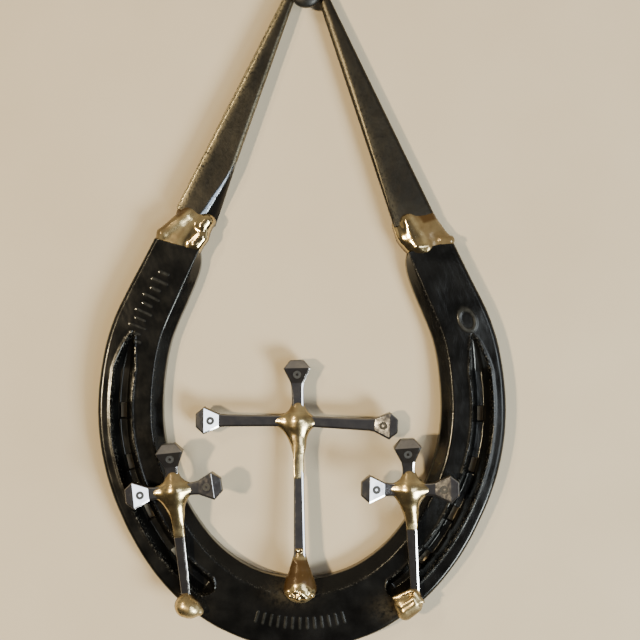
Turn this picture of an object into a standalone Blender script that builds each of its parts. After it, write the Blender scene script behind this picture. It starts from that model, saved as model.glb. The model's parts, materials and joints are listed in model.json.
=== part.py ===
"""A wall-hung ornament made from a farrier's keg horseshoe.

The shoe hangs heels up with its ground side to the front. Two tapered steel arms are brazed to its
heels and meet above it, where they hang on one screw. Three crosses of horseshoe nails are brazed
across it. Dimensions are in millimetres until a mesh is made. The origin is the screw's axis at the
wall plane: +X is to the right, +Z up, and the wall lies at y = 0 with the ornament on its -Y side.
"""

import math

import bmesh
import bpy
import numpy as np
from mathutils import Vector

MM = 0.001
GAP = 0.3  # clearance between neighbouring pieces
OVERRUN = 1.0  # how far a cutter reaches past what it cuts

# Horseshoe: outer edge of one branch from heel to toe, as (x, z). Lengths along it start at the heel.
SHOE_OUTER_EDGE = (
    (45.3, -74.6),
    (51.5, -86.9),
    (57.3, -99.0),
    (61.0, -114.0),
    (61.9, -125.0),
    (60.5, -141.0),
    (54.3, -159.5),
    (43.2, -177.6),
    (24.8, -192.7),
    (0.0, -198.8),
)
SHOE_THICKNESS = 8.0
SHOE_STATION_SPACING = 4.4
SHOE_FACE_WIDTH = 16.5
HEEL_NARROWING = 2.3  # how much narrower the face is at the heel
HEEL_NARROWING_LENGTH = 30.0
HEEL_SKEW = math.radians(11.3)  # how far the heel's cut end leans from square
HEEL_SKEW_LENGTH = 8.0
BEVEL_WIDTH = 3.1  # sloped band along the inner edge
BEVEL_START_LENGTH = 3.0
BEVEL_TOE_EXTRA = 1.3
BEVEL_TOE_LENGTH = 45.0
BEVEL_DROP = 3.4
OUTER_ROUNDING = 1.4
ROUNDING_MIDDLE = 0.3  # where the rounding's middle point lies, as a share of its radius
BACK_CHAMFER = 0.5

# Crease, the groove that holds the nail heads, and the nail holes punched through its floor
CREASE_START = 28.7
CREASE_END = 126.8
CREASE_HALF_WIDTH = 3.1
CREASE_OFFSET = 7.1  # from the outer edge to the groove's middle
CREASE_TOE_SHIFT = 1.7
CREASE_DEPTH = 4.2
CREASE_FLOOR_SHARE = 0.25  # the floor's width as a share of the groove's
CREASE_END_SHARE = 0.33  # its width just past either end, where its depth is nothing, as a share
CREASE_FLOOR_TILT = 0.05  # how much shallower the floor is on its outer side
CREASE_POINT_LENGTH = 13.0  # length over which the groove opens from its pointed top end
CREASE_POINT_POWER = 0.7
CREASE_ROUND_LENGTH = 3.0
CREASE_ROUND_POWER = 0.5
CREASE_END_STATIONS = (0.05, 0.6, 1.8, 3.2)  # extra stations, this far before the rounded end
HOLE_FIRST = 56.0
HOLE_SPACING = 17.7
HOLES_PER_BRANCH = 4
HOLE_LENGTH = 5.0
HOLE_WIDTH = 2.4
HOLE_TAPER = 0.15  # how much wider a hole is at the crease, and narrower at the back

# Arms: ends of each arm's inner and outer edges, as (x, z) near the top and at the heel
ARM_EDGES = {
    "left": (((-3.6, -2.0), (-26.7, -69.2)), ((-7.5, -2.0), (-38.1, -63.7))),
    "right": (((3.9, -2.0), (26.9, -69.1)), ((7.8, -2.0), (38.6, -64.4))),
}
ARM_MIDDLE_Y = -4.0
ARM_HEEL_THICKNESS = 6.0
ARM_TIP_THICKNESS = 4.0
ARM_CHAMFER = 0.8
TONGUE_LENGTH = 5.0
TONGUE_SHARE = 0.55  # the tongue's width and thickness as a share of the arm's

# Brazes between the arms and the heels
HEEL_BRAZE_SECTIONS = 9
HEEL_BRAZE_SIDES = 20
HEEL_BRAZE_THICKNESS = 8.2
HEEL_BRAZE_THINNING = 1.2  # how much thinner it is at the arm
HEEL_BRAZE_SWELL = 0.9
HEEL_BRAZE_SQUARENESS = 3.3
HEEL_BRAZE_WAIST = 1.2  # how far its outer side is drawn in
HEEL_BRAZE_BULGE = 0.5  # how far its inner side stands out

# Braze that joins the arms' tips and rests on the screw: (height z, half-width, half-thickness)
APEX_PROFILE = (
    (0.8, 5.0, 1.6),
    (4.0, 4.6, 2.0),
    (6.0, 4.3, 2.9),
    (9.0, 4.4, 3.6),
    (12.0, 3.6, 3.4),
    (14.2, 2.0, 2.2),
    (15.0, 0.8, 1.0),
)
APEX_SIDES = 24
APEX_SQUARENESS = 3.0

# Hanging screw, with a pan head and a cross recess
SCREW_SHANK_RADIUS = 2.4
SCREW_CORE_RADIUS = 1.7
SCREW_HEAD_RADIUS = 4.6
SCREW_HEAD_HEIGHT = 3.1
SCREW_HEAD_SEAT_Y = -6.9
SCREW_HEAD_RINGS = (0.25, 0.6, 0.85, 1.0)  # radii of the dome's rings, as shares of the head's
SCREW_HEAD_FALL = 0.55  # how far the dome's rim lies behind its middle, as a share of the height
SCREW_THREAD_START_Y = 1.0
SCREW_THREAD_TURNS = 14
SCREW_PITCH = 1.8
SCREW_TIP_TURNS = 3
SCREW_TIP_SHARE = 0.15  # the tip's size as a share of the thread's
SCREW_SIDES = 16
THREAD_STEPS = 4
RECESS_REACH = 2.6
RECESS_WIDTH = 1.1
RECESS_DEPTH = 2.2
RECESS_TAPER = ((-OVERRUN, 1.3), (RECESS_DEPTH, 0.45))  # depth into the head, and the blade's size there
SADDLE_RADIUS = SCREW_SHANK_RADIUS + GAP
SADDLE_HALF_LENGTH = 6.0
SADDLE_SIDES = 32

# Horseshoe nails
NAIL_HEAD_WIDTH = 8.2
NAIL_HEAD_THICKNESS = 4.8
NAIL_CROWN_HEIGHT = 2.4
NAIL_CROWN_WIDTH = 4.4
NAIL_CROWN_THICKNESS = 2.8
NAIL_RIDGE_LAND = 0.4
NAIL_NECK_AT = 7.6
NAIL_SHANK_WIDTH = 3.6
NAIL_SHANK_THICKNESS = 2.5
NAIL_TIP_WIDTH = 2.6
NAIL_TIP_THICKNESS = 1.7
NAIL_TAPER_LENGTH = 41.0
NAIL_CHAMFER = 0.35
FOOT_NAIL_HEAD_SHARE = 0.8  # the foot nail's head is hidden in its braze and is filed narrower

# Crosses: where nails cross, and the middle of the crown at each nail's head, as (x, y, z)
CENTRE_HUB = (-1.1, -6.3, -129.7)
CENTRE_CROWNS = {
    "top": (-1.7, -5.6, -111.2),
    "left": (-32.2, -6.2, -129.8),
    "right": (29.1, -6.2, -131.0),
    "foot": (0.0, -9.7, -182.3),
}
SMALL_HUBS = {"left": (-37.7, -13.2, -150.4), "right": (32.5, -13.2, -149.4)}
SMALL_CROWNS = {
    "left": {
        "upright": (-39.5, -14.2, -136.2),
        "left": (-52.3, -13.8, -152.1),
        "right": (-23.6, -13.8, -148.2),
    },
    "right": {
        "upright": (31.4, -14.2, -134.1),
        "left": (17.9, -13.8, -149.2),
        "right": (47.1, -13.8, -148.9),
    },
}
SMALL_TIPS = {"left": (-34.1, -9.9, -183.4), "right": (34.7, -9.9, -182.2)}

# Cross brazes. A hub is a plus-shaped lump: (height above the crossing, half-width, half-thickness)
HUB_SIDES = 20
HUB_PROFILE = (
    (5.4, 2.5, 1.6),
    (3.8, 3.0, 2.6),
    (2.7, 4.7, 2.9),
    (1.5, 6.4, 3.1),
    (-1.5, 6.5, 3.2),
    (-2.9, 4.9, 3.1),
    (-4.6, 3.4, 2.9),
    (-8.8, 2.6, 2.0),
)
HUB_SQUARENESS = 2.5
HUB_SHIFTS = {"centre": -1.3, "left": -0.7, "right": 0.1}  # how far the lump sits from the crossing, in x
FOOT_RINGS = 12
FOOT_END_SHARE = 0.35  # how far the end rings lie from the blob's poles, as a share of a ring's step
FOOT_BLOB_SIZE = (4.1, 4.0, 3.7)
SMALL_FEET = {"left": (-33.5, -9.3, -185.3), "right": (32.5, -9.3, -184.6)}
# Cone at the centre cross's foot: (height z, half-width, half-thickness), and the block cut from under it
CONE_PROFILE = (
    (-167.8, 2.3, 1.8),
    (-172.5, 2.9, 2.2),
    (-176.5, 3.9, 2.8),
    (-180.5, 4.4, 3.5),
    (-182.8, 4.6, 3.2),
    (-183.8, 3.6, 2.2),
)
TOE_BLOCK_HALF_WIDTH = 9.0
TOE_BLOCK_HEIGHT = 10.0

FINISHES = {
    "black_paint": ((0.012, 0.012, 0.013), 0.0, 0.3),
    "dark_steel": ((0.16, 0.13, 0.1), 0.9, 0.4),
    "nail_steel": ((0.55, 0.54, 0.52), 1.0, 0.3),
    "brass": ((0.75, 0.52, 0.2), 1.0, 0.25),
    "screw_black": ((0.03, 0.03, 0.03), 0.6, 0.4),
}


# ---------------------------------------------------------------- helpers


def clear_scene():
    for obj in list(bpy.data.objects):
        bpy.data.objects.remove(obj)


def make_material(name, finish):
    colour, metallic, roughness = FINISHES[finish]
    material = bpy.data.materials.new(name)
    material.use_nodes = True
    shader = material.node_tree.nodes["Principled BSDF"]
    shader.inputs["Base Color"].default_value = (*colour, 1.0)
    shader.inputs["Metallic"].default_value = metallic
    shader.inputs["Roughness"].default_value = roughness
    return material


def make_object(name, points, faces, finish):
    """A mesh object from points in millimetres, with its faces turned outwards."""
    mesh = bpy.data.meshes.new(name)
    mesh.from_pydata([Vector(p) * MM for p in points], [], faces)
    work = bmesh.new()
    work.from_mesh(mesh)
    bmesh.ops.recalc_face_normals(work, faces=work.faces)
    work.to_mesh(mesh)
    work.free()
    mesh.shade_smooth()
    mesh.set_sharp_from_angle(angle=math.radians(30))
    mesh.materials.append(make_material(name + "_finish", finish))
    obj = bpy.data.objects.new(name, mesh)
    bpy.context.collection.objects.link(obj)
    return obj


def make_cutter(name, points, faces):
    cutter = make_object(name, points, faces, "black_paint")
    cutter.hide_render = True
    cutter.display_type = "WIRE"
    return cutter


def cut(obj, cutters):
    for cutter in cutters:
        modifier = obj.modifiers.new("Clear " + cutter.name, "BOOLEAN")
        modifier.operation = "DIFFERENCE"
        modifier.solver = "EXACT"
        modifier.object = cutter


def loft(rings):
    """Points and faces of a closed skin through rings of equally many points."""
    sides = len(rings[0])
    points = [p for ring in rings for p in ring]
    faces = []
    for i in range(len(rings) - 1):
        for j in range(sides):
            k = (j + 1) % sides
            faces.append((i * sides + j, i * sides + k, (i + 1) * sides + k, (i + 1) * sides + j))
    last = (len(rings) - 1) * sides
    faces.append(tuple(range(sides)))
    faces.append(tuple(range(last + sides - 1, last - 1, -1)))
    return points, faces


def natural_spline(points):
    """Closely spaced points on a smooth curve through the given (x, z) points, and their arc lengths."""
    points = np.array(points, float)
    knots = np.r_[0.0, np.cumsum(np.hypot(*np.diff(points, axis=0).T))]
    steps = np.diff(knots)
    size = len(knots)
    matrix = np.zeros((size, size))
    right = np.zeros((size, 2))
    matrix[0, 0] = matrix[-1, -1] = 1.0
    for i in range(1, size - 1):
        matrix[i, i - 1 : i + 2] = steps[i - 1], 2.0 * (steps[i - 1] + steps[i]), steps[i]
        slope_change = (points[i + 1] - points[i]) / steps[i] - (points[i] - points[i - 1]) / steps[i - 1]
        right[i] = 6.0 * slope_change
    bends = np.linalg.solve(matrix, right)
    dense = np.linspace(0.0, knots[-1], 40 * size)
    span = np.clip(np.searchsorted(knots, dense) - 1, 0, size - 2)
    near = ((knots[span + 1] - dense) / steps[span])[:, None]
    far = 1.0 - near
    bend = (near**3 - near) * bends[span] + (far**3 - far) * bends[span + 1]
    curve = near * points[span] + far * points[span + 1] + bend * (steps[span] ** 2)[:, None] / 6.0
    return curve, np.r_[0.0, np.cumsum(np.hypot(*np.diff(curve, axis=0).T))]


def unit_ring(sides, power=2.0):
    """(across, deep) points of a circle, or of a squarer ring where the power is higher."""
    ring = []
    for i in range(sides):
        angle = 2.0 * math.pi * i / sides
        across = math.cos(angle)
        deep = math.sin(angle)
        across = math.copysign(abs(across) ** (2.0 / power), across)
        deep = math.copysign(abs(deep) ** (2.0 / power), deep)
        ring.append((across, deep))
    return ring


def level_ring(centre, half_width, half_thickness, sides, power=2.0):
    """A horizontal ring around a centre."""
    x, y, z = centre
    return [(x + half_width * a, y + half_thickness * d, z) for a, d in unit_ring(sides, power)]


def foot_blob(centre, back_y):
    """An ellipsoid around a centre, flattened where it would reach behind back_y."""
    width, depth, height = FOOT_BLOB_SIZE
    stack = []
    for i in range(FOOT_RINGS + 1):
        angle = math.pi * (i + FOOT_END_SHARE) / (FOOT_RINGS + 2.0 * FOOT_END_SHARE)
        spread = math.sin(angle)
        middle = (centre[0], centre[1], centre[2] + height * math.cos(angle))
        ring = level_ring(middle, width * spread, depth * spread, HUB_SIDES)
        stack.append([(x, min(y, back_y), z) for x, y, z in ring])
    return loft(stack)


# ---------------------------------------------------------------- horseshoe


def shoe_line():
    """The shoe's whole outer edge, heel to heel: points, directions into the web and arc lengths."""
    left = [(-x, z) for x, z in SHOE_OUTER_EDGE[-2::-1]]
    curve, length = natural_spline(list(SHOE_OUTER_EDGE) + left)
    half = length[-1] / 2.0
    branch = np.linspace(0.0, half, round(half / SHOE_STATION_SPACING) + 1)
    branch = np.union1d(branch, CREASE_END - np.array(CREASE_END_STATIONS))
    run = np.r_[branch, length[-1] - branch[-2::-1]]
    direction = np.gradient(curve, axis=0)
    direction /= np.hypot(*direction.T)[:, None]
    edge = np.column_stack([np.interp(run, length, curve[:, i]) for i in (0, 1)])
    along = np.column_stack([np.interp(run, length, direction[:, i]) for i in (0, 1)])
    inward = np.column_stack([along[:, 1], -along[:, 0]])
    return edge, inward, along, run


def from_heel(run, whole):
    return min(run, whole - run)


def heel_turned(inward, run, whole):
    """The heel's cut end isn't square: this turns the web's direction near either heel."""
    side = -1.0 if run < whole / 2.0 else 1.0
    angle = side * HEEL_SKEW * math.exp(-from_heel(run, whole) / HEEL_SKEW_LENGTH)
    x, z = inward
    return (x * math.cos(angle) - z * math.sin(angle), x * math.sin(angle) + z * math.cos(angle))


def crease_at(heel):
    """(offset, half-width, depth) of the crease, this far from the heel."""
    share = (heel - CREASE_START) / (CREASE_END - CREASE_START)
    offset = CREASE_OFFSET + CREASE_TOE_SHIFT * max(0.0, share) ** 3
    if not 0.0 < share < 1.0:
        return offset, CREASE_HALF_WIDTH * CREASE_END_SHARE, 0.0
    opened = min(1.0, (heel - CREASE_START) / CREASE_POINT_LENGTH) ** CREASE_POINT_POWER
    rounded = min(1.0, (CREASE_END - heel) / CREASE_ROUND_LENGTH) ** CREASE_ROUND_POWER
    return offset, CREASE_HALF_WIDTH * opened * rounded, CREASE_DEPTH * opened * rounded


def shoe_section(heel, half_length):
    """The web's cross-section as (distance in from the outer edge, y) points, from the back round the front."""
    narrowing = HEEL_NARROWING * math.exp(-((heel / HEEL_NARROWING_LENGTH) ** 2))
    face = SHOE_FACE_WIDTH - narrowing
    bevel = BEVEL_WIDTH * (1.0 - math.exp(-heel / BEVEL_START_LENGTH))
    bevel += BEVEL_TOE_EXTRA * math.exp(-(((half_length - heel) / BEVEL_TOE_LENGTH) ** 2))
    web = face + bevel
    offset, half_width, depth = crease_at(heel)
    floor = CREASE_FLOOR_SHARE * half_width
    front = -SHOE_THICKNESS
    rounding = ROUNDING_MIDDLE * OUTER_ROUNDING
    return [
        (BACK_CHAMFER, 0.0),
        (0.0, -BACK_CHAMFER),
        (0.0, front + OUTER_ROUNDING),
        (rounding, front + rounding),
        (OUTER_ROUNDING, front),
        (offset - half_width, front),
        (offset - floor, front + (1.0 - CREASE_FLOOR_TILT) * depth),
        (offset + floor, front + depth),
        (offset + half_width, front),
        (face, front),
        (web, front + BEVEL_DROP),
        (web, -BACK_CHAMFER),
        (web - BACK_CHAMFER, 0.0),
    ]


def build_horseshoe():
    edge, inward, along, run = shoe_line()
    whole = run[-1]
    rings = []
    for point, across, length in zip(edge, inward, run):
        across = heel_turned(across, length, whole)
        section = shoe_section(from_heel(length, whole), whole / 2.0)
        rings.append([(point[0] + u * across[0], y, point[1] + u * across[1]) for u, y in section])
    shoe = make_object("horseshoe", *loft(rings), "black_paint")
    for side in (0, 1):
        for i in range(HOLES_PER_BRANCH):
            heel = HOLE_FIRST + i * HOLE_SPACING
            length = whole - heel if side else heel
            place = [np.interp(length, run, column) for column in (*edge.T, *inward.T, *along.T)]
            cut(shoe, [nail_hole(f"nail_hole_{side}_{i}", place, crease_at(heel)[0])])
    return shoe


def nail_hole(name, place, offset):
    """A punch through the crease's floor, tapering towards the back."""
    x, z, in_x, in_z, on_x, on_z = place
    middle = (x + in_x * offset, z + in_z * offset)
    rings = []
    for y, share in ((OVERRUN - SHOE_THICKNESS, 1.0 + HOLE_TAPER), (OVERRUN, 1.0 - HOLE_TAPER)):
        ring = []
        for a, b in ((-1, -1), (1, -1), (1, 1), (-1, 1)):
            u = a * share * HOLE_WIDTH / 2.0
            v = b * share * HOLE_LENGTH / 2.0
            ring.append((middle[0] + u * in_x + v * on_x, y, middle[1] + u * in_z + v * on_z))
        rings.append(ring)
    return make_cutter(name, *loft(rings))


# ---------------------------------------------------------------- arms and their brazes


def point_at_x(edge, x):
    (x0, z0), (x1, z1) = edge
    return (x, z0 + (z1 - z0) * (x - x0) / (x1 - x0))


def bar_ring(inner, outer, middle_y, thickness, chamfer, grow=0.0):
    """A chamfered rectangle between two (x, z) points, this thick in y."""
    inner = np.array(inner)
    outer = np.array(outer)
    across = (outer - inner) / np.linalg.norm(outer - inner)
    inner = inner - across * grow
    outer = outer + across * grow
    deep = thickness / 2.0 + grow
    inner_side = [(inner, -deep + chamfer, 0.0), (inner, deep - chamfer, 0.0)]
    outer_side = [(outer, deep - chamfer, 0.0), (outer, -deep + chamfer, 0.0)]
    back = [(inner, deep, chamfer), (outer, deep, -chamfer)]
    front = [(outer, -deep, -chamfer), (inner, -deep, chamfer)]
    order = inner_side + back + outer_side + front
    return [(p[0] + across[0] * s, middle_y + y, p[1] + across[1] * s) for p, y, s in order]


def arm_rings(side, grow=0.0):
    """Rings from the tongue's end, inside the heel braze, to the mitred tip."""
    inner_edge, outer_edge = ARM_EDGES[side]
    inner = np.array(inner_edge[1])
    outer = np.array(outer_edge[1])
    middle = (inner + outer) / 2.0
    down = np.array([outer[1] - inner[1], inner[0] - outer[0]])
    down = down / np.linalg.norm(down) * (1.0 if down[1] < 0.0 else -1.0)
    tongue = [middle + (p - middle) * TONGUE_SHARE for p in (inner, outer)]
    tongue_thickness = ARM_HEEL_THICKNESS * TONGUE_SHARE
    end = [p + down * (TONGUE_LENGTH + grow) for p in tongue]
    root = [p + down * grow for p in tongue]
    shoulder = [p + down * grow for p in (inner, outer)]
    mitre_x = math.copysign(GAP / 2.0, inner[0]) - math.copysign(grow, inner[0])
    tip = [point_at_x(edge, mitre_x) for edge in (inner_edge, outer_edge)]
    y = ARM_MIDDLE_Y
    return [
        bar_ring(*end, y, tongue_thickness, ARM_CHAMFER, grow),
        bar_ring(*root, y, tongue_thickness, ARM_CHAMFER, grow),
        bar_ring(*shoulder, y, ARM_HEEL_THICKNESS, ARM_CHAMFER, grow),
        bar_ring(*tip, y, ARM_TIP_THICKNESS, ARM_CHAMFER, grow),
    ]


def build_arms():
    for side in ARM_EDGES:
        make_object(f"{side}_arm", *loft(arm_rings(side)), "dark_steel")


def heel_corners(side):
    """The shoe's heel end as its (x, z) inner and outer corners."""
    edge, inward, _, run = shoe_line()
    station = 0 if side == "right" else -1
    across = heel_turned(inward[station], run[station], run[-1])
    web = shoe_section(0.0, run[-1] / 2.0)[-2][0]
    outer = edge[station]
    return outer + np.array(across) * web, outer


def heel_braze_ring(inner, outer, share):
    """A rounded section of the braze, this share of the way from the arm to the shoe."""
    across = (outer - inner) / np.linalg.norm(outer - inner)
    outer = outer - across * HEEL_BRAZE_WAIST * math.sin(math.pi * share)
    inner = inner - across * HEEL_BRAZE_BULGE * math.sin(math.pi * share)
    middle = (inner + outer) / 2.0
    half = (outer - inner) / 2.0
    deep = (HEEL_BRAZE_THICKNESS - (1.0 - share) * HEEL_BRAZE_THINNING) / 2.0
    deep += HEEL_BRAZE_SWELL * math.sin(math.pi * share)
    ring = []
    for a, d in unit_ring(HEEL_BRAZE_SIDES, HEEL_BRAZE_SQUARENESS):
        x, z = middle + half * a
        ring.append((x, min(ARM_MIDDLE_Y + deep * d, 0.0), z))
    return ring


def build_heel_brazes():
    for side, (inner_edge, outer_edge) in ARM_EDGES.items():
        heel_inner, heel_outer = heel_corners(side)
        arm_inner = np.array(inner_edge[1])
        arm_outer = np.array(outer_edge[1])
        reach = (heel_inner + heel_outer - arm_inner - arm_outer) / 2.0
        inset = GAP / np.linalg.norm(reach)
        rings = []
        for i in range(HEEL_BRAZE_SECTIONS):
            share = inset + (1.0 - 2.0 * inset) * i / (HEEL_BRAZE_SECTIONS - 1)
            inner = arm_inner + (heel_inner - arm_inner) * share
            outer = arm_outer + (heel_outer - arm_outer) * share
            rings.append(heel_braze_ring(inner, outer, share))
        braze = make_object(f"{side}_heel_braze", *loft(rings), "brass")
        tongue = make_cutter(f"{side}_tongue_clearance", *loft(arm_rings(side, GAP)))
        cut(braze, [tongue])


def build_apex_braze():
    """A lump around the arms' tips. A saddle in its underside rests over the screw."""
    rings = []
    for z, half_width, half_thickness in APEX_PROFILE:
        centre = (0.0, ARM_MIDDLE_Y, z)
        rings.append(level_ring(centre, half_width, half_thickness, APEX_SIDES, APEX_SQUARENESS))
    braze = make_object("apex_braze", *loft(rings), "brass")
    cutters = [
        make_cutter(f"{side}_arm_clearance", *loft(arm_rings(side, GAP))) for side in ARM_EDGES
    ]
    cut(braze, cutters)
    return braze


# ---------------------------------------------------------------- nails and crosses


def nail_rings(crown, tip, head_share=1.0, grow=0.0):
    """Rings of a horseshoe nail from its crown to its tip. Its broad face looks to the front."""
    crown = Vector(crown)
    tip = Vector(tip)
    length = (tip - crown).length
    along = (tip - crown).normalized()
    deep = (Vector((0.0, 1.0, 0.0)) - along * along.y).normalized()
    across = along.cross(deep)
    head_width = NAIL_HEAD_WIDTH * head_share
    head_thickness = NAIL_HEAD_THICKNESS * head_share
    taper = min(1.0, max(0.0, (length - NAIL_NECK_AT) / NAIL_TAPER_LENGTH))
    end_width = NAIL_SHANK_WIDTH + (NAIL_TIP_WIDTH - NAIL_SHANK_WIDTH) * taper
    end_thickness = NAIL_SHANK_THICKNESS + (NAIL_TIP_THICKNESS - NAIL_SHANK_THICKNESS) * taper
    stages = [
        (-grow, NAIL_CROWN_WIDTH * head_share, NAIL_CROWN_THICKNESS * head_share),
        (NAIL_CROWN_HEIGHT, head_width, head_thickness),
        (NAIL_CROWN_HEIGHT + NAIL_RIDGE_LAND, head_width, head_thickness),
        (NAIL_NECK_AT, NAIL_SHANK_WIDTH, NAIL_SHANK_THICKNESS),
        (length + grow, end_width, end_thickness),
    ]
    rings = []
    for distance, width, thickness in stages:
        half = width / 2.0 + grow
        thick = thickness / 2.0 + grow
        centre = crown + along * distance
        corners = []
        for a, b in ((1, 1), (-1, 1), (-1, -1), (1, -1)):
            flat = (a * (half - NAIL_CHAMFER), b * thick)
            edge = (a * half, b * (thick - NAIL_CHAMFER))
            corners += [edge, flat] if a == b else [flat, edge]
        rings.append([centre + across * u + deep * v for u, v in corners])
    return rings


def build_nail(name, crown, tip, head_share=1.0):
    """A nail and its clearance, which the brazes around it are cut with."""
    make_object(name, *loft(nail_rings(crown, tip, head_share)), "nail_steel")
    return make_cutter(name + "_clearance", *loft(nail_rings(crown, tip, head_share, GAP)))


def short_of(hub, crown, distance):
    """The point this far from the hub on the way to a crown."""
    hub = Vector(hub)
    return hub + (Vector(crown) - hub).normalized() * distance


def build_centre_cross():
    side_reach = NAIL_SHANK_WIDTH / 2.0 + GAP
    reach = {"top": GAP / 2.0, "foot": GAP / 2.0, "left": side_reach, "right": side_reach}
    clearances = {}
    for arm, crown in CENTRE_CROWNS.items():
        tip = short_of(CENTRE_HUB, crown, reach[arm])
        share = FOOT_NAIL_HEAD_SHARE if arm == "foot" else 1.0
        clearances[arm] = build_nail(f"centre_cross_{arm}_nail", crown, tip, share)
    build_hub("centre", CENTRE_HUB, clearances.values())
    build_centre_foot(clearances["foot"])


def build_hub(cross, crossing, clearances):
    """The plus-shaped lump of brass where a cross's nails meet."""
    x, y, z = crossing
    rings = []
    for rise, half_width, half_thickness in HUB_PROFILE:
        centre = (x + HUB_SHIFTS[cross], y, z + rise)
        rings.append(level_ring(centre, half_width, half_thickness, HUB_SIDES, HUB_SQUARENESS))
    cut(make_object(f"{cross}_cross_hub_braze", *loft(rings), "brass"), clearances)


def build_centre_foot(clearance):
    """A cone of brass over the foot nail's head, standing on the shoe's sloped inner band."""
    crown = Vector(CENTRE_CROWNS["foot"])
    lean = (Vector(CENTRE_HUB) - crown) / (CENTRE_HUB[2] - crown.z)
    rings = []
    for z, half_width, half_thickness in CONE_PROFILE:
        centre = crown + lean * (z - crown.z)
        rings.append(level_ring((centre.x, centre.y, z), half_width, half_thickness, HUB_SIDES))
    foot = make_object("centre_cross_foot_braze", *loft(rings), "brass")
    cut(foot, [clearance, toe_clearance()])


def toe_clearance():
    """A block with the toe's sloped inner band and face, this much in front of the shoe's own."""
    inner_z = SHOE_OUTER_EDGE[-1][1] + SHOE_FACE_WIDTH + BEVEL_WIDTH + BEVEL_TOE_EXTRA
    face_z = SHOE_OUTER_EDGE[-1][1] + SHOE_FACE_WIDTH
    front = -SHOE_THICKNESS - GAP
    bottom_z = face_z - TOE_BLOCK_HEIGHT
    profile = (
        (OVERRUN, inner_z + 2.0 * GAP),
        (front + BEVEL_DROP, inner_z + 2.0 * GAP),
        (front, face_z + 2.0 * GAP),
        (front, bottom_z),
        (OVERRUN, bottom_z),
    )
    ends = (-TOE_BLOCK_HALF_WIDTH, TOE_BLOCK_HALF_WIDTH)
    return make_cutter("toe_clearance", *loft([[(x, y, z) for y, z in profile] for x in ends]))


def build_small_cross(side):
    hub = SMALL_HUBS[side]
    side_reach = NAIL_SHANK_WIDTH / 2.0 + GAP
    clearances = []
    for arm, crown in SMALL_CROWNS[side].items():
        tip = SMALL_TIPS[side] if arm == "upright" else short_of(hub, crown, side_reach)
        clearances.append(build_nail(f"{side}_cross_{arm}_nail", crown, tip))
    build_hub(side, hub, clearances)
    blob = foot_blob(SMALL_FEET[side], -SHOE_THICKNESS - GAP)
    foot = make_object(f"{side}_cross_foot_braze", *blob, "brass")
    cut(foot, clearances[:1])


# ---------------------------------------------------------------- hanging screw


def screw_ring(y, radius, start=0.0, thread=0.0, turn=0.0):
    """A ring around the screw's axis. With a thread, its radius rises once round the helix."""
    ring = []
    for i in range(SCREW_SIDES):
        share = i / SCREW_SIDES
        rise = 1.0 - abs(2.0 * ((turn - share) % 1.0) - 1.0)
        reach = radius + thread * rise**2
        angle = start + 2.0 * math.pi * share
        ring.append((reach * math.cos(angle), y, reach * math.sin(angle)))
    return ring


def head_rings():
    """The pan head's dome, from the middle of its front to its seat."""
    rings = []
    for share in SCREW_HEAD_RINGS:
        height = SCREW_HEAD_HEIGHT * (1.0 - SCREW_HEAD_FALL * share**4)
        rings.append(screw_ring(SCREW_HEAD_SEAT_Y - height, SCREW_HEAD_RADIUS * share))
    rings.append(screw_ring(SCREW_HEAD_SEAT_Y, SCREW_HEAD_RADIUS))
    return rings


def thread_rings():
    rings = []
    steps = SCREW_THREAD_TURNS * THREAD_STEPS
    tip_steps = SCREW_TIP_TURNS * THREAD_STEPS
    thread = SCREW_SHANK_RADIUS - SCREW_CORE_RADIUS
    for i in range(steps + 1):
        left = min(1.0, (steps - i) / tip_steps)
        y = SCREW_THREAD_START_Y + SCREW_PITCH * i / THREAD_STEPS
        size = SCREW_TIP_SHARE + (1.0 - SCREW_TIP_SHARE) * left
        rings.append(screw_ring(y, SCREW_CORE_RADIUS * size, thread=thread * size, turn=i / THREAD_STEPS))
    return rings


def build_screw():
    rings = head_rings()
    rings.append(screw_ring(SCREW_HEAD_SEAT_Y, SCREW_SHANK_RADIUS))
    runout = SCREW_SHANK_RADIUS - SCREW_CORE_RADIUS
    rings.append(screw_ring(SCREW_THREAD_START_Y - runout, SCREW_SHANK_RADIUS))
    rings += thread_rings()
    screw = make_object("hanging_screw", *loft(rings), "screw_black")
    cut(screw, [recess_blade("recess_blade_x", 0), recess_blade("recess_blade_z", 1)])


def recess_blade(name, turned):
    """One of the recess's two crossed blades, narrowing towards its bottom."""
    front = SCREW_HEAD_SEAT_Y - SCREW_HEAD_HEIGHT
    rings = []
    for depth, share in RECESS_TAPER:
        ring = []
        for a, b in ((-1, -1), (1, -1), (1, 1), (-1, 1)):
            long = a * RECESS_REACH * share
            wide = b * RECESS_WIDTH * (1.0 + share) / 4.0
            ring.append((wide, front + depth, long) if turned else (long, front + depth, wide))
        rings.append(ring)
    return make_cutter(name, *loft(rings))


def build_saddle(braze):
    """Cuts the screw's running clearance out of the apex braze."""
    rings = []
    for y in (ARM_MIDDLE_Y - SADDLE_HALF_LENGTH, ARM_MIDDLE_Y + SADDLE_HALF_LENGTH):
        rings.append([(SADDLE_RADIUS * a, y, SADDLE_RADIUS * d) for a, d in unit_ring(SADDLE_SIDES)])
    cut(braze, [make_cutter("saddle", *loft(rings))])


def main():
    clear_scene()
    build_horseshoe()
    build_arms()
    build_heel_brazes()
    build_saddle(build_apex_braze())
    build_screw()
    build_centre_cross()
    build_small_cross("left")
    build_small_cross("right")


main()
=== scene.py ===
"""The looks of a wall-hung ornament made from a keg horseshoe, two brazed arms and three nail crosses.

Shapes are worked out in millimetres and become metres when a mesh is made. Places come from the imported
CAD model: +X is right, +Z up, and the ornament hangs on the -Y side of a wall at y = 0.
"""

import json
import math

import bmesh
import bpy
import numpy as np
from mathutils import Matrix, Vector

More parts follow.
